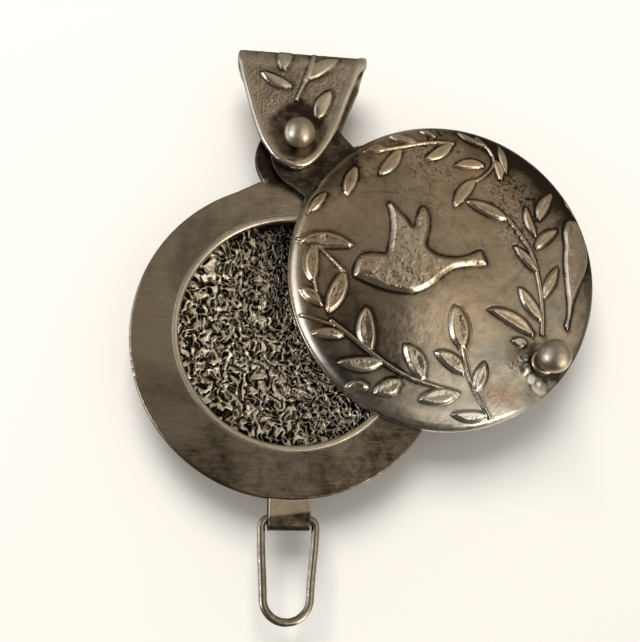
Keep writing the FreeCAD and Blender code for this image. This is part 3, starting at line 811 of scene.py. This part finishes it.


# patina, with painted shade and painted reflection in places
def cover_patina_and_shade(fields):
    x, z, radius, ground = fields.x, fields.z, fields.radius, fields.ground
    outward, coarse = fields.relief.outward, fields.coarse
    calm_rim = 1 - 0.7 * smooth(13.7, 14.7, radius)
    # around raised work, in rough ground and hollows, pits, scratch and dent
    patina_and_shade = (0.46 * band(outward, 0, 0.16) * ground * calm_rim
              + 0.12 * band(outward, 0, 0.7) * ground
              + 0.34 * fields.rough * ground * smooth(-0.05, 0.4, -fields.fine)
              + 0.10 * smooth(0.0, 0.6, -coarse) * ground
              + 0.40 * fields.pits
              + 0.22 * band(fields.scratch, 0, 0.08)
              + 0.5 * fields.dent)
    # hollow middles of the leaves keep some patina
    patina_and_shade += (0.12 * smooth(0.32, 0.60, fields.relief.inward) * fields.raised
               * (1 - fields.on_bird))
    # painted dark reflection: a darker patch low on the left, ending fairly sharply
    dark_reflection = ((1 - smooth(-4.9, -3.1, x - 0.12 * (z + 4.5) + 0.5 * coarse))
            * (1 - smooth(-2.4, 0.6, z + 0.6 * coarse)))
    dark_reflection *= smooth(-14.5, -9.0, z) * smooth(-15.6, -11.0, x)
    patina_and_shade += 0.30 * dark_reflection * ground
    # painted reflection: lighter in the middle and low down
    patina_and_shade -= 0.20 * spot(x, z, centre=(0.3, -7.6), spread=(4.2, 5.8)) * ground
    patina_and_shade -= 0.20 * spot(x, z, centre=(1.8, -12.6), spread=(4.6, 2.4))
    patina_and_shade -= 0.17 * spot(x, z, centre=(-1.0, -4.8), spread=(2.6, 2.6)) * ground
    # duller towards the upper right and the rim on that side
    patina_and_shade += 0.34 * smooth(9.5, 14.2, 0.72 * x + 0.72 * z) * ground
    patina_and_shade += 0.34 * smooth(12.3, 15.0, radius) * right_side(fields)
    # patina and painted shade around the stud, more below and left of it, and towards the pivot
    patina_and_shade += ((0.35 + 0.25 * fields.stud_low_left)
               * (1 - smooth(1.6, 2.9, fields.stud_distance + 0.6 * coarse)))
    pivot = np.hypot(x - (PIVOT[0] - COVER[0]), z - (PIVOT[1] - COVER[1]))
    patina_and_shade += 0.50 * (1 - smooth(5.2, 8.6, pivot + 0.8 * coarse))
    patina_and_shade -= 0.25 * fields.raised
    return np.clip(patina_and_shade, -0.4, 1)


def cover_bright(fields, height):
    x, z, radius, inward = fields.x, fields.z, fields.radius, fields.relief.inward
    stems = np.zeros(x.shape)
    for points, width in STEMS:
        stems = np.maximum(stems, np.exp(-(line_distance(x, z, points) / (0.75 * width)) ** 4))
    # shoulders of the raised work, less on the stems
    bright = 0.34 * band(inward, 0.24, 0.17) * (inward > 0) * smooth(0.1, 0.22, height)
    bright *= (0.7 + 0.6 * noise(x, z, 0.8, seed=66)) * (1 - 0.85 * stems)
    # painted highlights: flecks around the stud and the tops of the solder lumps
    fleck_highlights = (smooth(0.15, 0.40, fields.fine) * smooth(1.45, 1.8, fields.stud_distance)
              * (1 - smooth(2.1, 2.8, fields.stud_distance)))
    bright += 0.18 * fleck_highlights * fields.stud_low_left + 0.60 * smooth(0.12, 0.24, fields.lumps)
    # painted highlights on the rim, most of all at the left, and a painted highlight spot at the
    # bottom
    bright += 0.35 * band(radius, COVER_R - 0.30, 0.28) * (1 - right_side(fields))
    bright += 0.85 * band(radius, COVER_R - 0.40, 0.42) * band(z, -2.4, 3.6) * (x < 0)
    bright += 0.50 * spot(x, z, centre=(2.8, -13.9), spread=(2.4, 1.2))
    return np.clip(bright, 0, 1)


def cover_tints(x, z):
    blue = 0.9 * spot(x, z, centre=(4.6, -8.3), spread=(2.4, 1.5))
    blue = np.maximum(blue, 0.95 * spot(x, z, centre=(11.3, -3.3), spread=(1.0, 1.2)))
    blue = np.maximum(blue, 0.55 * smooth(-5.5, -11.5, z) + 0.25 * smooth(-13.6, -15.2, x))
    pink = 0.9 * spot(x, z, centre=(5.4, -12.3), spread=(1.7, 1.1))
    # warmer film towards the upper left, in soft blotches
    warm = np.clip(0.20 + 0.4 * perlin(x * 0.10 + 7, z * 0.10, 71)
                   + 0.22 * noise(x, z, 0.33, seed=72) + 0.018 * (z - x), 0, 0.6)
    return blue, pink, warm * smooth(-14.5, -7.0, z + 0.25 * x)


def build_cover():
    fields = cover_fields()
    height, y = cover_shape(fields)
    blue, pink, warm = cover_tints(fields.x, fields.z)
    obj = disc_solid(
        "cover_dome_relief", fields.x, y, fields.z, COVER, COVER_R,
        behind=[(0, DOME_BASE_Y)],
        attrs={"patina_and_shade": (cover_patina_and_shade(fields), 0.3),
               "bright": (cover_bright(fields, height), 0.0),
               "tint_blue": (blue, 0.0), "tint_pink": (pink, 0.0), "tint_warm": (warm, 0.3)})
    put(obj, "relief", "cover", "cover_dome")


# ============================================================ bail with leaves
# Places are (x, z) from the rivet.  Edges of the front leg, from the top down:
LEG_RIGHT = [(7.50, 9.9), (6.68, 8.3), (5.90, 6.3), (5.15, 4.3), (4.38, 2.1), (3.70, 0.4),
             (3.04, -0.8), (2.12, -2.1), (1.12, -2.93), (0.05, -3.22)]
LEG_LEFT = [(-6.10, 9.9), (-6.17, 8.3), (-5.83, 6.3), (-5.25, 4.3), (-4.58, 2.1),
            (-3.97, 0.4), (-3.37, -0.8), (-2.40, -2.1), (-1.18, -2.95)]
# leaves: base x, z, tip x, z, width, bend
BAIL_LEAVES = [
    (-0.72, 5.29, -3.95, 6.63, 1.22, 0.05), (-1.72, 7.0, -1.1, 11.2, 1.75, 0.0),
    (0.95, 6.35, 4.25, 8.90, 1.55, 0.05), (1.90, 2.15, 3.36, 5.15, 1.60, 0.04)]
# a stem that widens upwards: points, width, height
BAIL_STEMS = [
    ([(-0.16, 4.05), (0.30, 5.2), (0.80, 6.3)], 0.36, 0.22),
    ([(0.70, 6.1), (1.15, 7.2), (1.45, 8.4), (1.7, 9.9), (1.9, 11.4)], 0.62, 0.25)]
EYE_Z = -PIVOT[1]          # the eye above the rivet
FOLD_R = 2.5
STRAP_THICKNESS = 1.0


def bail_edges():
    """The two edges of the leg, each rising strictly from the shared tip."""
    outline = open_curve(LEG_RIGHT + LEG_LEFT[::-1], per_span=24)
    tip = int(np.argmin(outline[:, 1]))
    edges = []
    for edge in (outline[tip:], outline[:tip + 1][::-1]):
        edge = edge.copy()
        edge[:, 1] = np.maximum.accumulate(edge[:, 1] + np.arange(len(edge)) * 1e-7)
        edges.append(edge)
    return edges


def bail_path(tip_z):
    """Side view (y, z) up the front leg, over the fold and down the rear leg,
    and the index of the front leg's top."""
    # dense near the rounded tip
    low = tip_z + 0.004 + (np.linspace(0, 1, 74) ** 2.2) * 3.4
    z = np.concatenate([low, np.linspace(low[-1], EYE_Z, 96)[1:]])
    front = np.stack([-(LEG_Y + (FOLD_R - LEG_Y) * smooth(1.5, EYE_Z, z)), z], -1)
    angle = np.linspace(0, math.pi, 78)[1:-1]
    fold = np.stack([-FOLD_R * np.cos(angle), EYE_Z + FOLD_R * np.sin(angle)], -1)
    return np.vstack([front, fold, front[::-1] * [-1, 1]]), len(front) - 1


def bail_faces(rows, columns):
    """Outer and inner skins, joined along both sides and both tips."""
    count = rows * columns
    side = np.arange(rows - 1) * columns
    right = side + columns - 1
    tip = np.arange(columns - 1)
    end = (rows - 1) * columns + tip
    return [grid_faces(rows, columns),
            grid_faces(rows, columns, base=count)[:, ::-1],
            np.stack([side, side + count, side + columns + count, side + columns], -1),
            np.stack([right, right + columns, right + columns + count, right + count], -1),
            np.stack([tip, tip + 1, tip + 1 + count, tip + count], -1),
            np.stack([end + 1, end, end + count, end + 1 + count], -1)]


def build_bail():
    left_edge, right_edge = bail_edges()
    path, front_top = bail_path(right_edge[0, 1])
    rows, columns = len(path), 160
    tangent = np.gradient(path, axis=0)
    tangent /= np.linalg.norm(tangent, axis=1)[:, None]
    outwards = np.stack([-tangent[:, 1], tangent[:, 0]], -1)
    path_y, path_z = path[:, 0], path[:, 1]
    left_x = np.interp(path_z, left_edge[:, 1], left_edge[:, 0])
    right_x = np.interp(path_z, right_edge[:, 1], right_edge[:, 0])
    even = np.linspace(-1, 1, columns)
    across = 0.5 + 0.5 * (0.5 * np.sin(even * math.pi / 2) + 0.5 * even)
    leg_x = left_x[:, None] + (right_x - left_x)[:, None] * across[None]
    # the rear leg sits further right, fully so from 2.9 below the fold's foot
    shift = 0.80 * np.clip((9.9 - path_z) / 2.9, 0, 1) * smooth(0.0, 2.2, path_y)
    x = leg_x + shift[:, None]
    z = path_z[:, None] + 0 * x
    # unrolled height: z on the front leg, then the length along the path
    length = np.concatenate([[0], np.cumsum(np.linalg.norm(np.diff(path, axis=0), axis=1))])
    unrolled = np.where(np.arange(rows) <= front_top, path_z,
                        EYE_Z + (length - length[front_top]))
    up = unrolled[:, None] + 0 * x
    to_left = line_distance(leg_x, z, left_edge[::3])
    to_right = line_distance(leg_x, z, right_edge[::3])
    to_edge = np.minimum(to_left, to_right)

    relief = Relief(leg_x, up)
    for *leaf, bend in BAIL_LEAVES:
        relief.leaf(*leaf, hollow=False, bend=bend, top=0.27)
    for points, width, top in BAIL_STEMS:
        relief.stem(points, width, top)
    front = 1 - smooth(-0.9, 1.0, path_y[:, None] + 0 * x)
    height = relief.height * front * (1 - 0.75 * smooth(EYE_Z + 0.2, EYE_Z + 2.6, up))
    raised = smooth(0.02, 0.16, height)
    ground = 1 - raised
    # calm is 0 in the smooth dark pool around the rivet
    pool = np.hypot(leg_x - 0.10, (z - 0.72) / 1.08)
    calm = smooth(2.45, 3.45, pool + 0.20 * noise(leg_x, z, 0.9, seed=90))
    # raised borders: the right edge, and the left edge near the tip
    right_border = 1 - smooth(0.45, 0.98, to_right)
    left_border = 1 - smooth(0.40, 0.80, to_left + 10 * smooth(-2.6, -0.8, z))
    border = np.maximum(right_border, left_border)
    inner = smooth(0.35, 0.9, to_left) * smooth(0.8, 1.1, to_right)
    # wrinkles in the ground
    warp = 0.35 * noise(leg_x, up, 0.9, seed=96)
    wrinkles = (0.32 - np.abs(perlin(leg_x * 1.9 + warp, up * 3.2, 91)) * 1.5
                + 0.30 - np.abs(perlin(leg_x * 3.3, up * 4.6 + warp, 92)) * 1.2)
    blotches = noise(leg_x, up, 0.8, seed=94, octaves=2)
    height += (ground * inner * calm * (0.040 * wrinkles) * front
               + 0.005 * noise(leg_x, up, 1.2, seed=93, octaves=3))
    height -= 0.03 * band(relief.outward, 0.14, 0.12) * ground * front
    height += 0.12 * border * front - 0.03 * (1 - calm) * (1 - border) * front
    height -= edge_drop(to_edge, 0.30)

    def skin(offset):
        return np.stack([x, path_y[:, None] + outwards[:, 0][:, None] * offset,
                         z + outwards[:, 1][:, None] * offset], -1).reshape(-1, 3)

    verts = np.concatenate([skin(height), skin(-STRAP_THICKNESS + edge_drop(to_edge, 0.22))])
    verts[:, 0] += PIVOT[0]
    verts[:, 2] += PIVOT[1]

    # around raised work, in wrinkles, blotches and the pool; less on high parts
    patina_and_shade = (0.40 * band(relief.outward, 0, 0.20) * ground * front
              + 0.16 * band(relief.outward, 0, 0.7) * ground * front
              + 0.20 * smooth(-0.15, 0.4, -wrinkles) * ground * inner * calm * front
              + 0.12 * smooth(-0.1, 0.4, blotches) * ground * front
              + 0.60 * (1 - calm) * (1 - border) * (1 - 0.8 * raised) * front
              - 0.16 * raised - 0.12 * border * front)
    # the outside of the fold: wear and a painted highlight just below its top, painted shade
    # above
    patina_and_shade += 0.55 * smooth(EYE_Z + 1.3, EYE_Z + 2.8, up) * front
    fold_wear_and_highlight = band(up, EYE_Z + 0.6 + 0.3 * blotches, 0.45) * front
    # painted shade on the rear leg, which is plain
    patina_and_shade += 0.22 * (1 - front)
    # rubbed wear and painted highlights: borders, then the left and right edges, raised work and
    # the worn fold
    bright = (0.30 * border * front
              + 0.80 * band(to_left, 0.20, 0.22)
              * (0.5 + 0.5 * smooth(-2.0, 0.5, up) * (1 - smooth(4.5, 8.0, up)))
              + 0.45 * band(to_right, 0.14, 0.14))
    bright = bright + 0.22 * raised * front + 0.45 * fold_wear_and_highlight * (0.8 + 0.6 * blotches)
    bright = np.clip(bright * (0.8 + 0.35 * noise(leg_x, up, 0.6, seed=95)), 0, 1)
    # the inner skin gets painted shade all over, with bright edges
    obj = closed_mesh("bail_strap_relief", verts, bail_faces(rows, columns), {
        "patina_and_shade": np.concatenate([np.clip(patina_and_shade, -0.4, 1).ravel(),
                                  np.full(rows * columns, 0.56)]),
        "bright": np.concatenate([bright.ravel(), 0.6 * band(to_edge, 0, 0.14).ravel()])})
    put(obj, "bail", "bail", "bail_strap")


# ===================================================== reticulated well floor
FLOOR_THICKNESS = 0.5
# back of the floor: radius, share of the dip
FLOOR_BACK = ((12.35, 0.0), (11.0, 0.30), (8.0, 0.66), (4.0, 0.92), (0.0, 1.0))


def reticulation(x, z, lump):
    """Ridges of the shrunken skin, up to 1 at a crest, and the warped x and z."""
    warp_x = x + 0.50 * noise(x, z, 0.6, seed=201) + 0.20 * noise(x, z, 1.7, seed=202)
    warp_z = (z + 0.50 * perlin(x * 0.6 + 5, z * 0.6, 203)
              + 0.20 * perlin(x * 1.7, z * 1.7 + 5, 204))
    lump[:] = noise(warp_x, warp_z, 0.7, seed=220)
    wall_a = (perlin(warp_x * 1.55, warp_z * 1.35, 210)
              + 0.06 * noise(warp_x, warp_z, 3.1, seed=213))
    wall_b = perlin(warp_x * 2.05 + 4.2, warp_z * 1.85, 211)
    blobs = (perlin(warp_x * 2.05 + 2.6, warp_z * 1.75, 215)
             + 0.28 * noise(warp_x, warp_z, 3.6, seed=216))
    # broad lumpy worms at the left, thin sharp walls towards the upper right
    side = smooth(-4.5, 4.5, x + 0.45 * z + 2.2 * noise(x, z, 0.3, seed=224))
    worms = (blobs + 0.07) / 0.40
    wall_width = 0.22
    choice = smooth(-0.25, 0.35, noise(x, z, 0.6, seed=221))
    net = np.maximum(1 - np.abs(wall_a) / wall_width,
                     1 - np.abs(wall_b) / wall_width - 0.40 + 0.35 * choice)
    ridge = np.clip(np.maximum(worms - 0.95 * side, net - 0.55 * (1 - side)), -0.6, 1.0)
    return ridge, warp_x, warp_z


def build_well():
    disc_radius = radius_of(liner_lo, liner_hi)
    x, z = disc_points(560, disc_radius)
    radius = np.hypot(x, z)
    front_y = liner_lo[1]
    dip = (liner_hi[1] - liner_lo[1]) - FLOOR_THICKNESS
    lump = np.zeros(x.shape)
    ridge, warp_x, warp_z = reticulation(x, z, lump)
    # rounded crests and steep flanks
    crest = np.where(ridge > 0, 1 - (1 - np.clip(ridge, 0, 1)) ** 1.7, ridge * 0.7)
    strength = 0.85 + 0.45 * noise(x, z, 0.8, seed=222)
    height = (0.30 * crest * strength + 0.16 * lump
              + 0.05 * noise(warp_x, warp_z, 1.9, seed=227)
              + 0.010 * noise(x, z, 2.6, seed=223, octaves=2))
    fade = 1 - smooth(11.3, 12.0, radius)
    y = front_y + dome_height(radius, 12.0, dip, power=1.5) - height * fade + 0.16 * fade
    # patina between ridges; painted shade under the lip and a painted shadow on the side the
    # cover shades
    shade = x + 0.8 * z + 1.4 * lump
    patina_and_shade = 0.92 * (1 - smooth(-0.25, 0.42, ridge)) + 0.08
    patina_and_shade += 0.35 * smooth(10.4, 11.5, radius) + 0.55 * smooth(1.5, 8.5, shade)
    # crests bright in patches, as rubbed wear and painted highlights, most away from the painted
    # shadow
    bright = 0.66 * smooth(0.35, 0.95, ridge) * (1 - 0.85 * smooth(-1.0, 7.0, shade))
    bright *= 0.55 + 0.6 * smooth(-0.3, 0.4, noise(x, z, 0.5, seed=226))
    bright *= 1 + 0.35 * (1 - smooth(-11.0, -3.0, shade))
    behind = [(ring, front_y + FLOOR_THICKNESS + dip * share)
              for ring, share in ((disc_radius, 0.0), *FLOOR_BACK)]
    obj = disc_solid("well_floor_reticulated", x, y, z, WELL, disc_radius, behind,
                     {"patina_and_shade": (np.clip(patina_and_shade, 0, 1), 0.5),
                      "bright": (np.clip(bright, 0, 1), 0.0)})
    put(obj, "well", "case", "well_liner")


# ============================================================ turned pieces
def build_stud():
    """Latch ball on its post."""
    centre_y = stud_lo[1] + STUD_R
    neck_r, post_r = 0.62, 0.55
    ball = arc_points((0, centre_y), STUD_R, -math.pi / 2,
                      math.acos(min(1, neck_r / STUD_R)), 41)
    neck_y = ball[-1, 1]
    post = [(0.56, neck_y + 0.10), (post_r, neck_y + 0.35), (post_r, DOME_BASE_Y - 0.9),
            (post_r, stud_hi[1]), (0.0, stud_hi[1])]
    obj = turned("latch_stud_ball", np.vstack([ball, post]), STUD, seed=8,
                 shadow=(0.55, centre_y + 0.5, centre_y + 1.5))
    put(obj, "ball", "cover", "latch_stud")


def build_rivet():
    """Ball head down to the front leg, shank, and peened end on the washer."""
    ball_r = radius_of(rivet_lo, rivet_hi)
    centre_y = rivet_lo[1] + ball_r
    shank_r = 0.8
    peen_r, peen_depth = 1.6, 1.0
    washer_y = box_mm("rear_washer")[1][1]
    cut = math.asin(max(-1, min(1, (-LEG_Y - centre_y) / ball_r)))
    profile = np.vstack([
        arc_points((0, centre_y), ball_r, -math.pi / 2, cut, 40),
        [(shank_r, -LEG_Y), (shank_r, washer_y)],
        arc_points((0, washer_y - peen_depth), peen_r,
                   math.asin(peen_depth / peen_r), math.pi / 2, 14)])
    obj = turned("pivot_rivet_ball", profile, PIVOT, seed=9,
                 shadow=(0.5, centre_y + 0.6, centre_y + 1.4))
    put(obj, "ball", "bail", "pivot_rivet")


def build_lip():
    """Ring around the opening, rounded on its inner front edge."""
    low, high = box_mm("opening_bezel")
    outer_r, inner_r = radius_of(low, high), 11.38
    round_r, round_y = 0.30, 0.32
    front_y, back_y = low[1], high[1]
    segments = 320
    profile = [(outer_r, front_y), (outer_r - 0.16, front_y)]
    profile += [(inner_r + round_r - round_r * math.sin(angle),
                 front_y + round_y - round_y * math.cos(angle))
                for angle in np.linspace(0, math.pi / 2, 10)]
    profile += [(inner_r, back_y), (outer_r, back_y)]
    angle = np.arange(segments) / segments * TAU
    cos, sin = np.cos(angle), np.sin(angle)
    verts = revolve(np.array(profile), WELL, cos, sin,
                    swell=0.035 * noise(cos, sin, 2.2, seed=12)[None])
    obj = closed_mesh("opening_lip", verts.reshape(-1, 3), [
        grid_faces(len(profile), segments, wrap_rows=True, wrap_columns=True)])
    put(obj, "lip", "case", "opening_bezel")


# ====================================================== domed, planished back
def build_back():
    disc_radius = radius_of(shell_lo, shell_hi)
    rise = shell_hi[1] - shell_lo[1]
    wall, power = 0.7, 2.1
    x, z = disc_points(200, disc_radius)
    radius = np.hypot(x, z)
    # hammer marks on a sunflower spiral
    rng = np.random.default_rng(4)
    mark_count, mark_r, golden_angle = 240, 1.25, 2.399963
    marks = np.zeros_like(x)
    for k in range(mark_count):
        mark_at = disc_radius * math.sqrt((k + 0.5) / mark_count)
        turn = k * golden_angle
        mark_x = mark_at * math.cos(turn) + rng.normal(0, 0.25)
        mark_z = mark_at * math.sin(turn) + rng.normal(0, 0.25)
        distance_sq = (x - mark_x) ** 2 + (z - mark_z) ** 2
        marks = np.maximum(marks, np.clip(1 - distance_sq / mark_r ** 2, 0, 1))
    fade = 1 - smooth(disc_radius - 1.0, disc_radius - 0.2, radius)
    y = shell_lo[1] + dome_height(radius, disc_radius, rise, power)
    y = y - (0.055 * (marks - 0.6) + 0.03 * noise(x, z, 0.5, seed=71, octaves=3)) * fade
    # a wall at the rim, then the hollow behind the well's floor
    inner = [((disc_radius - wall) * share,
              shell_lo[1] + dome_height(share, 1.0, rise - wall, power))
             for share in (1.0, 0.97, 0.88, 0.70, 0.42, 0.18, 0.0)]
    patina_and_shade = (0.22 * (1 - smooth(0.2, 0.7, marks))
              + 0.3 * smooth(disc_radius - 1.6, disc_radius - 0.2, radius))
    obj = disc_solid("back_shell_planished", x, y, z, CASE, disc_radius, inner,
                     {"patina_and_shade": (patina_and_shade, 0.4)})
    put(obj, "back", "case", "back_shell")


# ============================================================== latch loop
def loop_path(top, bottom):
    """Centre line (x, z) of the wire: a straight bar at the top, rounded
    corners, leaning sides and a round bottom."""
    top_half, side_half, corner_r = 2.65, 2.27, 0.8
    side_end = bottom + side_half * 0.97
    lean = math.atan2(top_half - side_half, (top - corner_r) - side_end)
    corner_x = top_half - corner_r
    bar = [(x, top) for x in np.linspace(0, corner_x, 14)[:-1]]
    corner = arc_points((corner_x, top - corner_r), corner_r, math.pi / 2, -lean, 18)
    side = np.linspace(corner[-1], (side_half, side_end), 46)[1:-1]
    bottom_r = side_half / math.cos(lean)
    bowl = arc_points((0, side_end + bottom_r * math.sin(lean)), bottom_r,
                      -lean, -math.pi / 2, 30)
    right = np.vstack([bar, corner, side, bowl])
    return np.vstack([right, right[::-1][1:-1] * [-1, 1]])


def build_loop():
    low, high = box_mm("latch_loop")
    wire_r = 0.40
    top, bottom = high[2] - wire_r, low[2] + wire_r
    path = loop_path(top, bottom)
    # hand-bent: the two sides are not quite alike, away from the hinge bar, by
    # less than the 0.13 mm the loop has to spare as it passes the stud's ball
    free = 1 - smooth(top - 2.4, top - 0.9, path[:, 1])
    down = (top - path[:, 1]) / (top - bottom)
    path[:, 0] += free * (-0.07 * smooth(0.04, 0.72, down)
                          + 0.02 * np.sin(path[:, 1] * 0.9 + 1.0) * np.sign(path[:, 0]))
    y = (low[1] + high[1]) / 2 + free * 0.03 * np.sin(path[:, 1] * 0.6 + path[:, 0] * 0.4)
    line = np.stack([path[:, 0] + PIVOT[0], y, path[:, 1]], -1)
    tangent = np.roll(line, -1, 0) - np.roll(line, 1, 0)
    tangent /= np.linalg.norm(tangent, axis=1)[:, None]
    back = np.array([0.0, 1.0, 0.0])
    back = back - tangent * (tangent @ back)[:, None]
    back /= np.linalg.norm(back, axis=1)[:, None]
    sideways = np.cross(tangent, back)
    count, around = len(line), 28
    angle = np.arange(around) / around * TAU
    step = (np.arange(count) + 1)[:, None] * 0.3
    uneven = perlin(step * 0.9, np.cos(angle)[None] * 0.8 + 3, 14)
    radii = wire_r * (1 + 0.035 * free[:, None] * uneven)
    verts = (line[:, None] + back[:, None] * (radii * np.cos(angle))[..., None]
             + sideways[:, None] * (radii * np.sin(angle))[..., None]).reshape(-1, 3)
    obj = closed_mesh("latch_loop_wire", verts, [
        grid_faces(count, around, wrap_rows=True, wrap_columns=True)])
    put(obj, "wire", "latch", "latch_loop")


# ================================================= CAD nodes kept as they are
# name, finish, width of the softened edges (0 leaves them sharp)
KEPT = (("case_ring", "ring", 0.14), ("cover_plate", "plate", 0.12),
        ("latch_knuckle", "knuckle", 0.22), ("stud_collar", "collar", 0),
        ("rear_washer", "washer", 0))


def finish_kept():
    for name, finish, edge_width in KEPT:
        obj = NODES[name]
        wear(obj, finish)
        mesh = obj.data
        mesh.polygons.foreach_set("use_smooth", np.full(len(mesh.polygons), True))
        mesh.set_sharp_from_angle(angle=math.radians(28))
        if edge_width:
            bevel = obj.modifiers.new("soft_edges", "BEVEL")
            bevel.width = edge_width * MM
            bevel.segments = 4
            bevel.limit_method = "ANGLE"
            bevel.angle_limit = math.radians(50)
            bevel.harden_normals = True
            bevel.use_clamp_overlap = True


# ===================================================================== stage
def build_floor():
    """Upright pale sheet behind the pendant, clear from its back and hidden
    from every ray but the camera's."""
    half = 900.0
    y = shell_hi[1] + 0.6
    verts = [(-half, y, -half), (half, y, -half), (half, y, half), (-half, y, half)]
    obj = make_mesh("floor", verts, [np.array([[0, 1, 2, 3]])], smooth_shade=False)
    mat = bpy.data.materials.new("pale_floor")
    mat.use_nodes = True
    nodes = mat.node_tree.nodes
    graph = Graph(mat.node_tree)
    shader = nodes["Principled BSDF"]
    shader.inputs["Base Color"].default_value = (0.72, 0.70, 0.665, 1)
    shader.inputs["Roughness"].default_value = 0.9
    shader.inputs["Specular IOR Level"].default_value = 0.0
    geometry = graph.add("ShaderNodeNewGeometry")
    clear = graph.add("ShaderNodeBsdfTransparent")
    mix = graph.add("ShaderNodeMixShader")
    graph.feed(mix.inputs[0], geometry.outputs["Backfacing"])
    graph.feed(mix.inputs[1], shader.outputs[0])
    graph.feed(mix.inputs[2], clear.outputs[0])
    graph.feed(nodes["Material Output"].inputs["Surface"], mix.outputs[0])
    obj.data.materials.append(mat)
    obj.visible_diffuse = False
    obj.visible_glossy = False
    obj.visible_shadow = False
    obj.visible_transmission = False


def build_world():
    """What the silver mirrors, by direction: azimuth from straight in front
    (to the right is positive) and elevation, both in degrees."""
    world = bpy.data.worlds.new("studio")
    bpy.context.scene.world = world
    world.use_nodes = True
    graph = Graph(world.node_tree)
    background = world.node_tree.nodes["Background"]
    coords = graph.add("ShaderNodeTexCoord")
    axes = graph.split(coords.outputs["Generated"])
    depth = graph.math("ABSOLUTE", axes[1])
    azimuth = graph.math("MULTIPLY", graph.math("ARCTAN2", axes[0], depth), 180 / math.pi)
    elevation = graph.math("MULTIPLY", graph.math("ARCSINE", axes[2]), 180 / math.pi)
    # left half: dark low down, lighter above, a little dimmer at the top
    left = graph.mix(graph.ramp(elevation, 3.0, 16.0),
                     (0.085, 0.077, 0.063), (0.36, 0.335, 0.285))
    left = graph.mix(graph.ramp(elevation, 24.0, 46.0), left, (0.27, 0.25, 0.21))
    # right half: brightest low down, dimming upwards in two steps
    right = graph.mix(graph.ramp(elevation, 1.0, -17.0),
                      (0.74, 0.69, 0.585), (1.35, 1.28, 1.14))
    right = graph.mix(graph.ramp(elevation, 6.0, 17.0), right, (0.50, 0.46, 0.385))
    right = graph.mix(graph.ramp(elevation, 30.0, 60.0), right, (0.36, 0.33, 0.275))
    mirrored = graph.mix(graph.ramp(azimuth, 3.0, 8.5), left, right)
    # dim at the far right
    far_right = graph.math("MULTIPLY", graph.ramp(azimuth, 50.0, 80.0),
                           graph.ramp(elevation, -45.0, -20.0))
    mirrored = graph.mix(far_right, mirrored, (0.26, 0.235, 0.195))
    # a cool glow at the left, ending at the far left
    glow = graph.math("MULTIPLY", graph.ramp(azimuth, -34.0, -48.0),
                      graph.ramp(elevation, 42.0, 22.0))
    glow = graph.math("MULTIPLY", glow, graph.ramp(elevation, -34.0, -16.0))
    mirrored = graph.mix(glow, mirrored, (1.15, 1.19, 1.26))
    mirrored = graph.mix(graph.ramp(azimuth, -72.0, -86.0), mirrored, (0.22, 0.21, 0.19))
    # dark underneath
    color = graph.mix(graph.ramp(elevation, -38.0, -52.0), mirrored, (0.10, 0.09, 0.075))
    # the camera and diffuse light see a plain pale grey
    rays = graph.add("ShaderNodeLightPath")
    for kind in ("Is Camera Ray", "Is Diffuse Ray"):
        color = graph.mix(rays.outputs[kind], color, (0.60, 0.585, 0.56))
    graph.feed(background.inputs["Color"], color)
    background.inputs["Strength"].default_value = 1.0


def soft_box(name, place, size, power, color):
    """Square area light aimed at the pendant; place and size in metres."""
    data = bpy.data.lights.new(name, "AREA")
    data.shape = "RECTANGLE"
    data.size = size
    data.size_y = size
    data.energy = power
    data.color = color
    obj = bpy.data.objects.new(name, data)
    obj.location = place
    aim = Vector((0.005, 0, -0.025)) - Vector(place)
    obj.rotation_euler = aim.to_track_quat("-Z", "Y").to_euler()
    bpy.context.scene.collection.objects.link(obj)
    return obj


def build_lights():
    # grazing ones low right and left model the metal, a large one in front
    # lights the floor
    low_right = soft_box("edge_low_right", place=(0.20, -0.10, -0.25), size=0.12,
                         power=0.26, color=(1.0, 0.93, 0.80))
    left = soft_box("edge_left", place=(-0.30, -0.075, -0.12), size=0.10,
                    power=0.27, color=(0.97, 0.97, 1.0))
    front = soft_box("floor_soft", place=(-0.12, -0.50, 0.30), size=0.34,
                     power=4.2, color=(1.0, 0.98, 0.95))
    low_right.visible_diffuse = left.visible_diffuse = False
    front.visible_glossy = False


def build_camera():
    data = bpy.data.cameras.new("camera")
    data.sensor_fit = "HORIZONTAL"
    data.sensor_width = 36.0
    data.lens = 64.495
    data.clip_start = 0.002
    data.clip_end = 20.0
    obj = bpy.data.objects.new("camera", data)
    scene = bpy.context.scene
    scene.collection.objects.link(obj)
    right = Vector((0.988449, -0.151160, 0.010882))
    down = Vector((0.042908, 0.210268, -0.976702))
    forward = Vector((0.145350, 0.965887, 0.214325))
    pose = Matrix((right, -down, -forward)).transposed().to_4x4()
    pose.translation = Vector((-13.887 + PIVOT[0], -110.948, -50.474)) * MM
    obj.matrix_world = pose
    scene.camera = obj
    scene.view_settings.view_transform = "Standard"
    scene.view_settings.look = "None"


build_cover()
build_bail()
build_well()
build_stud()
build_rivet()
build_lip()
build_back()
build_loop()
finish_kept()
build_floor()
build_world()
build_lights()
build_camera()

bpy.context.view_layer.update()
